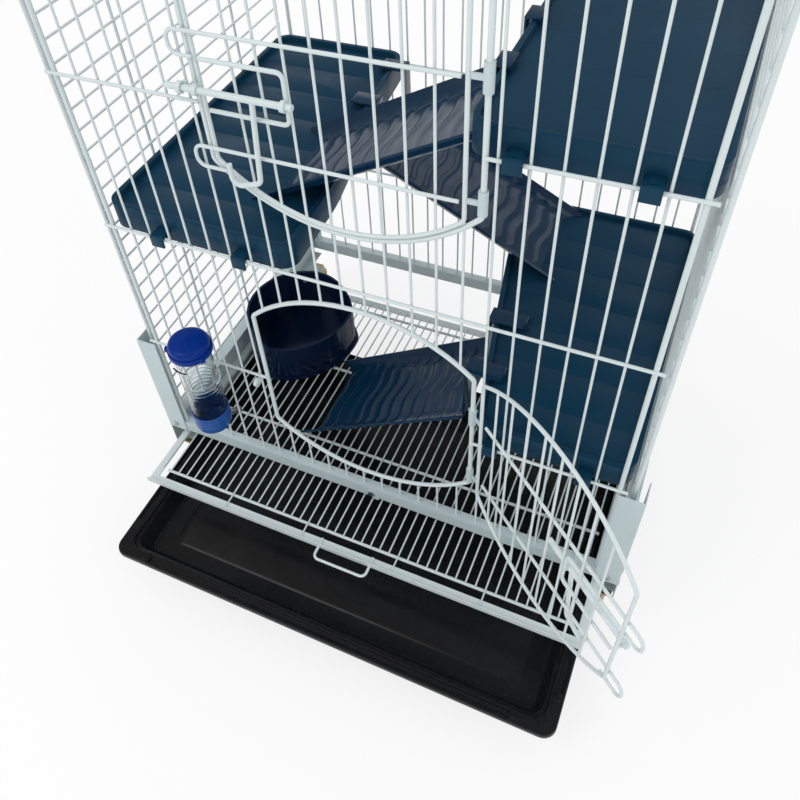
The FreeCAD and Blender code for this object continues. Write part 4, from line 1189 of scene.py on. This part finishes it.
class CAGE_OT_studio(bpy.types.Operator):
    """Set the floor, the soft light and the camera"""

    bl_idname = "cage.studio"
    bl_label = "Studio"

    def execute(self, context):
        studio = context.scene.cage_studio
        self.floor(studio)
        self.sky(context, studio)
        for name, (setting, size, place) in LAMPS.items():
            self.lamp(context, name, getattr(studio, setting), size, place, studio.aim)
        self.camera(context, studio)
        context.scene.view_settings.view_transform = "Standard"
        return {"FINISHED"}

    def floor(self, studio):
        floor = begin("floor", bpy.ops.mesh.primitive_plane_add, size=studio.floor_size)
        with Editing(floor):
            bpy.ops.mesh.subdivide(number_cuts=3)
        material, finish = new_finish("studio_floor")
        fleck = finish.noise(scale=3)
        diffuse = finish.node("ShaderNodeBsdfDiffuse", None, {
            "Color": finish.blend(fleck, shade(studio.floor, 0.99), shade(studio.floor, 1.01))})
        plain = finish.node("ShaderNodeEmission", None, {"Color": WHITE, "Strength": 1.0})
        seen = finish.node("ShaderNodeLightPath", out="Is Camera Ray")
        mixed = finish.node("ShaderNodeMixShader", None, {0: seen * studio.white, 1: diffuse, 2: plain})
        finish.close(mixed, "ShaderNodeOutputMaterial")
        floor.data.materials.append(material)

    def sky(self, context, studio):
        """White where it is seen, plainly or through the bottle, and weaker where it is only mirrored."""
        world = bpy.data.worlds.new("studio_sky")
        world.use_nodes = True
        context.scene.world = world
        finish = Finish(world.node_tree)
        seen = finish.node("ShaderNodeLightPath", out="Is Camera Ray")
        gloss = finish.node("ShaderNodeLightPath", out="Is Glossy Ray")
        through = finish.node("ShaderNodeLightPath", out="Is Transmission Ray")
        shown = finish.node("ShaderNodeMath", {"operation": "MAXIMUM"}, {0: seen, 1: through})
        strength = studio.sky + shown * (1 - studio.sky) + gloss * (studio.mirror - studio.sky)
        light = finish.node("ShaderNodeBackground", None, {"Color": WHITE, "Strength": strength})
        finish.close(light, "ShaderNodeOutputWorld")

    def lamp(self, context, name, power, size, place, target):
        data = bpy.data.lights.new(name, "AREA")
        data.energy = power
        data.shape = "DISK"
        data.size = size
        lamp = bpy.data.objects.new(name, data)
        aim = target - Vector(place)
        lamp.matrix_world = Matrix.Translation(place) @ aim.to_track_quat("-Z", "Y").to_matrix().to_4x4()
        context.scene.collection.objects.link(lamp)

    def camera(self, context, studio):
        data = bpy.data.cameras.new("camera")
        data.sensor_width = studio.sensor
        data.lens = studio.lens
        data.shift_x, data.shift_y = CAMERA_SHIFT
        data.clip_start = CAMERA_NEAR
        camera = bpy.data.objects.new("camera", data)
        right = Vector(CAMERA_RIGHT)
        up = Vector(CAMERA_UP)
        camera.matrix_world = Matrix.Translation(CAMERA_PLACE) @ \
            Matrix((right, up, right.cross(up))).transposed().to_4x4()
        context.scene.collection.objects.link(camera)
        context.scene.camera = camera


# Add-on

GROUPS = {
    "cage_colours": CageColours,
    "cage_shelves": CageShelfSizes,
    "cage_ramps": CageRampSizes,
    "cage_bowl": CageBowlSizes,
    "cage_bottle": CageBottleSizes,
    "cage_tray": CageTraySizes,
    "cage_casters": CageCasterSizes,
    "cage_studio": CageStudio,
}
STEPS = (CAGE_OT_finishes, CAGE_OT_shelves, CAGE_OT_ramps, CAGE_OT_bowl, CAGE_OT_bottle, CAGE_OT_tray,
         CAGE_OT_wheels, CAGE_OT_screws, CAGE_OT_studio)


class CAGE_PT_sidebar(bpy.types.Panel):
    """Lists the cage's steps and settings"""

    bl_idname = "CAGE_PT_sidebar"
    bl_label = "Small Animal Cage"
    bl_space_type = "VIEW_3D"
    bl_region_type = "UI"
    bl_category = "Cage"

    def draw(self, context):
        for step in STEPS:
            self.layout.operator(step.bl_idname)
        for name, group in GROUPS.items():
            box = self.layout.box()
            box.label(text=group.__doc__)
            for setting in group.__annotations__:
                box.prop(getattr(context.scene, name), setting)


def register():
    for kind in (*GROUPS.values(), *STEPS, CAGE_PT_sidebar):
        bpy.utils.register_class(kind)
    for name, group in GROUPS.items():
        setattr(bpy.types.Scene, name, PointerProperty(type=group))


def unregister():
    for name in GROUPS:
        delattr(bpy.types.Scene, name)
    for kind in (CAGE_PT_sidebar, *STEPS, *GROUPS.values()):
        bpy.utils.unregister_class(kind)


def main():
    register()
    for step in STEPS:
        group, name = step.bl_idname.split(".")
        getattr(getattr(bpy.ops, group), name)()


if __name__ == "__main__":
    main()
